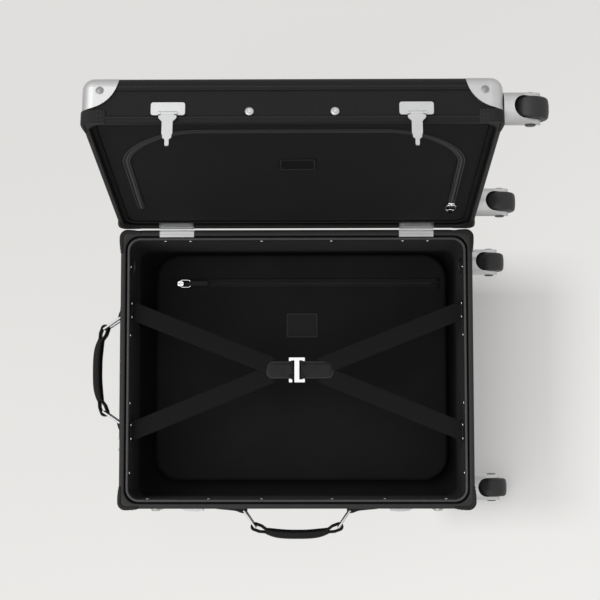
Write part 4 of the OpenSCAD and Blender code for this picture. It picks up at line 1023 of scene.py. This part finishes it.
# %% Lid zip
ZIP_HALF, ZIP_LOW, ZIP_SIDE, ZIP_TOP, CORNER_A = 209.5 * MM, 70 * MM, 242 * MM, 344 * MM, 95 * MM


def lid_zip_line():
    """The three-sided line: straight sides, and corners where x = a cos(t)^1.15 and y = b sin(t)^1.15."""
    t = np.linspace(0, np.pi / 2, 60)
    corner = np.stack([ZIP_HALF - CORNER_A + CORNER_A * np.cos(t) ** 1.15,
                       ZIP_SIDE + (ZIP_TOP - ZIP_SIDE) * np.sin(t) ** 1.15], -1)
    side = np.stack([np.full(30, ZIP_HALF), np.linspace(ZIP_LOW, ZIP_SIDE, 30)], -1)[:-1]
    right = np.concatenate([side, corner])
    line = np.concatenate([right, (right * [-1, 1])[::-1][1:]])
    return resample(flat_line(line * [1, -1] + [0, HALF_W], 0), count=400)[0]


zip_path = lid_zip_line()
zip_side = np.cross(unit(np.gradient(zip_path, axis=0)), (0, 0, 1.0))


def along_zip(name, lift, section, off=0.0):
    """A section carried along the zip's line, off to its side and lifted over the panel, in the open lid."""
    level = np.array([0, 0, 1.0])
    line = zip_path + zip_side * off + level * (PANEL_Z + lift)
    return move_mesh(carry(name, line, np.cross(np.gradient(line, axis=0), level), section), into_lid)


def at_zip_end(p):
    """Slider coordinates (x along the zip towards the hinges) at the zip's right end, on the lid's panel."""
    y = HALF_W - ZIP_LOW - 14 * MM + p[..., 0]
    return into_lid(np.stack([ZIP_HALF + p[..., 1], y, PANEL_Z + p[..., 2]], -1))


for k, off in enumerate((-3.6 * MM, 3.6 * MM)):
    cord = along_zip("lid_zip_piping_%d" % k, 0.35 * MM, flat_oval(2.6 * MM, 2.2 * MM, 2.2, 14), off)
    dress(cord, PIPING, "lining", "lid", "lid_zip")
dress(along_zip("lid_zip_tape", 0.1 * MM, flat_oval(6.6 * MM, 0.8 * MM)), TAPE, "lining", "lid", "lid_zip")
lid_teeth = teeth_row("lid_zip_teeth", zip_path + [0, 0, PANEL_Z], 0.7 * MM, 0.9 * MM)
dress(move_mesh(lid_teeth, into_lid), TEETH, "lining", "lid", "lid_zip")

lid_slider = slider_parts("lid_slider", -8 * MM, 0, 1.3 * MM, 1.25)
pull_points = np.array([(12, -3), (23, -4), (27, -2), (27, 2), (23, 4), (12, 3)]) * MM
lid_pull = soft_plate("lid_slider_pull", even_outline(pull_points, 0.6 * MM),
                      edge_levels(3.1 * MM, 4.6 * MM, 0.5 * MM))
for part in lid_slider + [lid_pull]:
    dress(move_mesh(part, at_zip_end), BRIGHT, "fitting", "lid", "lid_zip")
print("lid zip points", len(zip_path))

# %% [markdown]
# ## Stitching
#
# Each seam is a row of small ellipsoids set along its line, slightly sunk. A bump pattern would do for a
# seam seen from far away, but here the thread stands up and throws its own small shadows. The pitch follows
# the leather's weight: about 3.6 mm on the bindings and finer on the patches.

# %% Stitches
def stitches(name, path, up, body, length=2.4 * MM, pitch=3.6 * MM, width=0.75 * MM, place=None,
             material=THREAD, closed=False):
    """Stitches set at every pitch along a path, 0.05 mm over it, with their long axes along it."""
    at, along = resample(path, pitch, closed=closed)
    up = np.broadcast_to(np.asarray(up, float), at.shape)
    verts, faces = blob(length, width, width * 0.8)
    seam = scatter(name, verts, faces, at + up * 0.05 * MM, along, up)
    if place:
        move_mesh(seam, place)
    return dress(seam, material, "leather", body)


HALVES = (("base", BASE_DEPTH, BASE_PATCH_DROP, None),
          ("lid", LID_DEPTH, LID_PATCH_DROP - 0.1 * MM, into_lid))
SEAM_IN = 4.6 * MM
rim_outline = rounded_loop(HALF_L - SEAM_IN, HALF_W - SEAM_IN, EDGE_R - SEAM_IN, 8, 40)[0]
for half, depth, _, place in HALVES:
    stitches("rim_seam_" + half, flat_line(rim_outline, depth - 0.34 * MM), (0, 0, 1), half, closed=True,
             length=2.2 * MM, width=0.6 * MM, place=place)

# %% Seams on the walls
WALLS = {"front": (0, -1), "back": (0, 1), "left": (-1, 0), "right": (1, 0)}


def wall_seam(kind, half, height, reach, wall, place):
    """A seam on a half's wall at one height: along X on the front and back, along Y on the ends."""
    nx, ny = WALLS[wall]
    s = np.linspace(-reach, reach, 30)
    line = np.stack([nx * HALF_L + abs(ny) * s, ny * HALF_W + abs(nx) * s], -1)
    name = "%s_seam_%s_%s" % (kind, half, wall)
    return stitches(name, flat_line(line, height), (nx, ny, 0), half, place=place)


for half, depth, _, place in HALVES:
    for wall, reach in (("front", HALF_L - 40 * MM), ("back", HALF_L - 40 * MM), ("left", HALF_W - 46 * MM)):
        wall_seam("edge", half, 14.4 * MM, reach, wall, place)
    for wall, reach in (("front", HALF_L - 28 * MM), ("left", HALF_W - 34 * MM), ("right", HALF_W - 34 * MM)):
        wall_seam("skirt", half, depth - 6.8 * MM, reach, wall, place)


# %% Seams of the corner patches and of the tabs
def corner_seams(half, depth, drop, place, sx, sy):
    """Upright rows near the ends of a corner patch, where it stands 1.5 and 2 mm off the wall."""
    z = np.linspace(depth - drop + 2.5 * MM, depth - 3 * MM, 12)
    runs = [("corner_seam", 0, 1, (22.5 * MM, 18.5 * MM)), ("corner_end_seam", 1, 0, (28.5 * MM, 24.5 * MM))]
    for kind, nx, ny, backs in runs if half == "base" else runs[:1]:
        for k, (back, rise) in enumerate(zip(backs, (0.72, 0.96))):
            off = rise * 2.12 * MM
            x = sx * (HALF_L + (off if nx else -back))
            y = sy * (HALF_W + (off if ny else -back))
            path = np.stack([np.full(12, x), np.full(12, y), z], -1)
            stitches("%s_%s_%d_%d_%d" % (kind, half, sx, sy, k), path, (sx * nx, sy * ny, 0), half,
                     place=place, pitch=3.2 * MM, length=2.1 * MM)


for sx, sy in CORNERS:
    for half, depth, drop, place in HALVES:
        corner_seams(half, depth, drop, place, sx, sy)

TAB_SEAM_IN, TAB_SEAM_START = 2.1 * MM, 12 * MM
for sx, _, reach in TABS:
    half_w = TAB_W - TAB_SEAM_IN
    line = [(TAB_SEAM_START, -half_w)] + tab_end(reach, TAB_SEAM_IN) + [(TAB_SEAM_START, half_w)]
    line = np.array(line) * [sx, 1]
    stitches("tab_seam_%d" % sx, flat_line(line, CLASP_Z + 1.85 * MM), (0, 0, 1), "base", pitch=3.0 * MM,
             length=2.0 * MM, width=0.7 * MM, material=THREAD_LIGHT)

# %% [markdown]
# ## Small pieces inside
#
# Domed rivets hold the lining and the strap ends. They could be linked copies of one object, but all of
# them are one piece here, so one dome is copied into a single mesh. The label patches are bare leather,
# sewn on. A thin cord loop is sewn to each end wall near the hinges.

# %% Rivets of the lining
def dome(radius, height, rings=6, sides=24):
    """A low dome: z = h sqrt(1 - (r / R)^2), closed underneath."""
    a = np.linspace(0, np.pi / 2, rings)
    r = np.concatenate([[0.02], [1.0], np.cos(a)[1:-1], [0.02]]) * radius
    z = np.concatenate([[0.0], [0.0], np.sin(a)[1:-1], [1.0]]) * height
    t = np.linspace(0, 2 * np.pi, sides, endpoint=False)
    flat = np.stack([r[:, None] * np.cos(t), r[:, None] * np.sin(t)], -1)
    return at_heights(flat, z).reshape(-1, 3), grid_faces(rings + 1, sides, False, True)


rivet_low, rivet_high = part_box("base_rivets")
rivet_z = (rivet_low.z + rivet_high.z) / 2
hinge_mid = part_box("hinge_base_leaves")[1].x - HINGE_HALF
END_X = HALF_CX - 25.8 * MM
SIDE_Y = HALF_CY - 36 * MM
STRAP_T = 1.6 * MM
BACK = 0.1 * MM
spots = [((x, HALF_CY + BACK), (0, -1)) for x in (hinge_mid + 16.5 * MM, hinge_mid - 18.5 * MM, 49 * MM)]
spots += [((x, -HALF_CY - BACK), (0, 1)) for x in (END_X, END_X - 85 * MM, 49 * MM)]
spots += [((HALF_CX + BACK, y), (-1, 0)) for y in (-SIDE_Y, -47 * MM, 48 * MM, SIDE_Y)]
spots += [((HALF_CX - STRAP_T - BACK, anchor_y + off), (-1, 0))
          for anchor_y, _, _ in STRAPS for off in (-9.5 * MM, 9.5 * MM)]
rivet_places = np.array([(s * x, y, rivet_z) for (x, y), _ in spots for s in (-1, 1)])
rivet_ups = np.array([(s * ux, uy, 0.0) for _, (ux, uy) in spots for s in (-1, 1)])
rivet_along = np.broadcast_to((0, 0, 1.0), rivet_ups.shape)
rivets = scatter("lining_rivets", *dome(2.8 * MM, 1.5 * MM), rivet_places, rivet_along, rivet_ups)
dress(rivets, BRIGHT, "fitting", "base", "base_rivets")
print("lining rivets", len(rivet_places))


# %% Label patches and cord loops
def label_patch(name, centre, hx, hy, z, place, body):
    """A bare leather patch with rounded corners and a seam 2 mm inside its edge."""
    outline = rounded_loop(hx, hy, 2.2 * MM, 5, 8)[0] + centre
    patch = soft_plate(name, outline, edge_levels(z, z + 1.1 * MM, 0.45 * MM), place)
    dress(patch, GRIP_LEATHER, "leather", body)
    seam = rounded_loop(hx - 2 * MM, hy - 2 * MM, 1.2 * MM, 4, 8)[0] + centre
    stitches(name + "_seam", flat_line(seam, z + 1.1 * MM), (0, 0, 1), body, place=place, pitch=2.6 * MM,
             length=1.7 * MM, width=0.55 * MM, closed=True, material=THREAD_LIGHT)


label_patch("base_label_patch", (7 * MM, 69 * MM), 23.5 * MM, 18.8 * MM, COVER_TOP - 0.3 * MM, None, "base")
label_patch("lid_label_patch", (4.5 * MM, HALF_W - 233 * MM), 23.2 * MM, 18.5 * MM, PANEL_Z - 0.2 * MM,
            into_lid, "lid")

LOOP_Y, LOOP_HALF, LOOP_BULGE, LOOP_Z, LOOP_RISE = 146 * MM, 9.5 * MM, 5.2 * MM, 131 * MM, 5 * MM
a = np.linspace(0, np.pi, 24)
for s in (-1, 1):
    path = np.stack([s * (HALF_CX + 0.4 * MM - LOOP_BULGE * np.sin(a) ** 0.7), LOOP_Y - LOOP_HALF * np.cos(a),
                     LOOP_Z + LOOP_RISE * np.sin(a)], -1)
    cord = carry("wall_loop_%d" % s, path, (0, 0, 1), flat_oval(2.4 * MM, 2.4 * MM, 2.0, 12))
    dress(cord, PIPING, "lining", "base")
print("loop's length", round(float(np.linalg.norm(np.diff(path, axis=0), axis=1).sum()), 4))

# %% [markdown]
# ## Rivets and grooves on the lid's front
#
# The lid's two front caps are held by grey domed rivets, and each round stud has a turned groove. Both are
# too fine for the imported solids, so a dome and thin dark rings are laid on the caps and the studs; the dark
# rings are painted shade round the rivet's edge and in the groove.

# %% Cap rivets and stud grooves
def front_ring(name, centre, radius, width, height):
    """A flat dark ring of painted shade round a point of the lid's front wall, which faces -Y in the half's
    own frame.
    """
    t = np.linspace(0, 2 * np.pi, 36, endpoint=False)
    path = centre + radius * np.stack([np.cos(t), 0 * t, np.sin(t)], -1)
    ring = carry(name, path, (0, 1, 0), flat_oval(width, height, 2.0, 8), closed_path=True)
    dress(move_mesh(ring, into_lid), SHADE_METAL, "fitting", "lid")


for sx in (-1, 1):
    seat = np.array([sx * (HALF_L - 20.5 * MM), -HALF_W - 1.6 * MM, 19.3 * MM])
    verts, faces = dome(4.3 * MM, 1.6 * MM, 8, 32)
    head = scatter("cap_rivet_%d" % sx, verts, faces, seat[None], [[1.0, 0, 0]], [[0, -1.0, 0]])
    dress(move_mesh(head, into_lid), RIVET_GREY, "fitting", "lid")
    # Dark rings of painted shade: one at the rivet head's edge, one in the stud's groove.
    front_ring("cap_rivet_ring_%d" % sx, seat, 4.4 * MM, 0.9 * MM, 1.3 * MM)
    stud = np.array([sx * 50 * MM, -HALF_W - 2.0 * MM, LID_DEPTH - 14 * MM])
    front_ring("stud_groove_%d" % sx, stud, 2.5 * MM, 0.3 * MM, 0.7 * MM)

# %% [markdown]
# ## Hinges
#
# The lid's hinge leaves fold over the rim into the lid, and the gap beside the knuckles is dark. The packed
# leaves end at the rim, so a thin plate carries each of them on, and a dark strip lies in the gap on both
# halves as painted shade.

# %% Hinge folds and gap strips
for s in (-1, 1):
    xs = np.linspace(-HINGE_HALF, HINGE_HALF, 9) + s * HINGE_X
    fold_path = flat_line(np.c_[xs, 0 * xs + HALF_W - 7.7 * MM], LID_DEPTH - 3.2 * MM)
    fold = carry("hinge_fold_%d" % s, fold_path, (0, 0, 1), flat_oval(6.2 * MM, 0.9 * MM, 8.0, 20))
    dress(move_mesh(fold, into_lid), SATIN, "fitting", "lid")
    for (half, depth, _, place), wide in zip(HALVES, (1.2 * MM, 3.4 * MM)):
        # A dark strip of painted shade in the gap beside the knuckles.
        path = flat_line(np.c_[xs, 0 * xs + HALF_W - wide / 2], depth - RIM_HALF - 0.1 * MM)
        strip = carry("hinge_line_%s_%d" % (half, s), path, (0, 1, 0), flat_oval(wide, 0.5 * MM, 4.0, 12))
        dress(move_mesh(strip, place) if place else strip, SHADE_METAL, "fitting", half)

# %% [markdown]
# ## Floor
#
# The case lies on a seamless pale floor whose colour is a little brighter towards the front, a painted light
# gradient, and only the caster side has a shadow. A plain diffuse floor would take shadows all round, so to
# the camera this one shows its own colour almost unlit, and a Mix Shader gives the lit surface a larger share
# beside the base's caster wall.

# %% Floor
FLOOR_REACH = 40.0
FLOOR_DROP = 0.4 * MM
FLOOR_BACK, FLOOR_FRONT = (0.752, 0.743, 0.729), (0.863, 0.855, 0.839)


def between(v, start, rise, end, fall):
    """Up from 0 at start by rise a millimetre to 1, and down again to 0 at end by fall a millimetre."""
    return ((v - start) * rise).clamp() * ((end - v) * fall).clamp()


def floor_finish():
    """The glow's share: 0.93 less 0.62 times the lit patch to the camera, 1 to glossy rays, 0 to the rest."""
    t = new_tree("studio_floor")
    x, y, _ = t.apart(t.place())
    # Painted light: the floor's colour runs from darker at the back to brighter at the front.
    toward_front = (y * -0.0011 + x * 0.00032 + 0.5).clamp()
    col = t.mix(toward_front, FLOOR_BACK, FLOOR_FRONT)
    lit_patch = between(x, 200, 0.033, 450, 0.0125) * between(y, -235, 0.02, 185, 0.0143)
    rays = t.node("ShaderNodeLightPath")
    diffuse = t.node("ShaderNodeBsdfDiffuse", {"Color": col})[0]
    glow = t.node("ShaderNodeEmission", {"Color": col, "Strength": 1.0})[0]
    share = rays[0] * (0.93 - lit_patch * 0.62) + rays[3]
    return t.show(t.node("ShaderNodeMixShader", {0: share, 1: diffuse, 2: glow})[0])


floor_points = [(sx * FLOOR_REACH, sy * FLOOR_REACH, -FLOOR_DROP) for sx, sy in QUARTERS]
floor = make_mesh("studio_floor", floor_points, [(0, 1, 2, 3)], smooth=False)
clothe(floor, floor_finish())

# %% [markdown]
# ## Light and camera
#
# One large soft lamp from the left casts the short shadow on the caster side, and a white world fills in. A
# bare world would light the black leather evenly and flatten it, so the world lights less than it shows in
# reflections. The camera looks down from straight above, and its place and lens were worked out from the
# rims' corners.

# %% Light
def aim_matrix(direction):
    """A turn whose -Z looks along the direction, with +Y kept as high as it goes."""
    back = -unit(direction)
    right = unit(np.cross((0, 1, 0.01), back))
    return Matrix(np.stack([right, np.cross(back, right), back], 1).tolist()).to_4x4()


def studio_world(lit, seen):
    """A white world of strength lit, which camera and glossy rays see at strength seen."""
    world = bpy.data.worlds.new("studio")
    bpy.context.scene.world = world
    t = Tree(world)
    rays = t.node("ShaderNodeLightPath")
    low, high = [t.node("ShaderNodeBackground", {"Color": (1.0, 1.0, 0.995), "Strength": s})[0]
                 for s in (lit, seen)]
    shader = t.node("ShaderNodeMixShader", {0: rays[0].max(rays[3]), 1: low, 2: high})[0]
    t.show(shader, "ShaderNodeOutputWorld")


def area_light(name, place, target, across, along, power):
    """A rectangular lamp at place, facing target, along metres long from front to back."""
    lamp = bpy.data.lights.new(name, "AREA")
    lamp.shape = "RECTANGLE"
    lamp.size = across
    lamp.size_y = along
    lamp.energy = power
    aim = np.array(target, float) - np.array(place, float)
    put_in_scene(name, lamp).matrix_world = Matrix.Translation(place) @ aim_matrix(aim)


studio_world(lit=0.52, seen=1.0)
area_light("key_left", place=(-2.6, 0.0, 4.3), target=(0, 0, 0.1), across=4.6, along=8.0, power=175)

# %% Camera
CAMERA_AT = (0.02795, -0.10444, 2.331)
CAMERA_TURN = ((0.0915710, "X"), (0.0105163, "Y"), (-0.0019204, "Z"))
FOCAL_PIXELS, FRAME_PIXELS, SENSOR = 1569.38, 600, 36.0
lens = bpy.data.cameras.new("photo_camera")
lens.sensor_width = SENSOR
lens.lens = FOCAL_PIXELS * SENSOR / FRAME_PIXELS
camera = put_in_scene("photo_camera", lens)
pitch, yaw, roll = [Matrix.Rotation(angle, 3, axis) for angle, axis in CAMERA_TURN]
camera.matrix_world = Matrix.Translation(CAMERA_AT) @ (pitch @ yaw @ roll).to_4x4()
bpy.context.scene.camera = camera
bpy.context.scene.view_settings.view_transform = "Standard"
print("lens", round(lens.lens, 2), "mm")
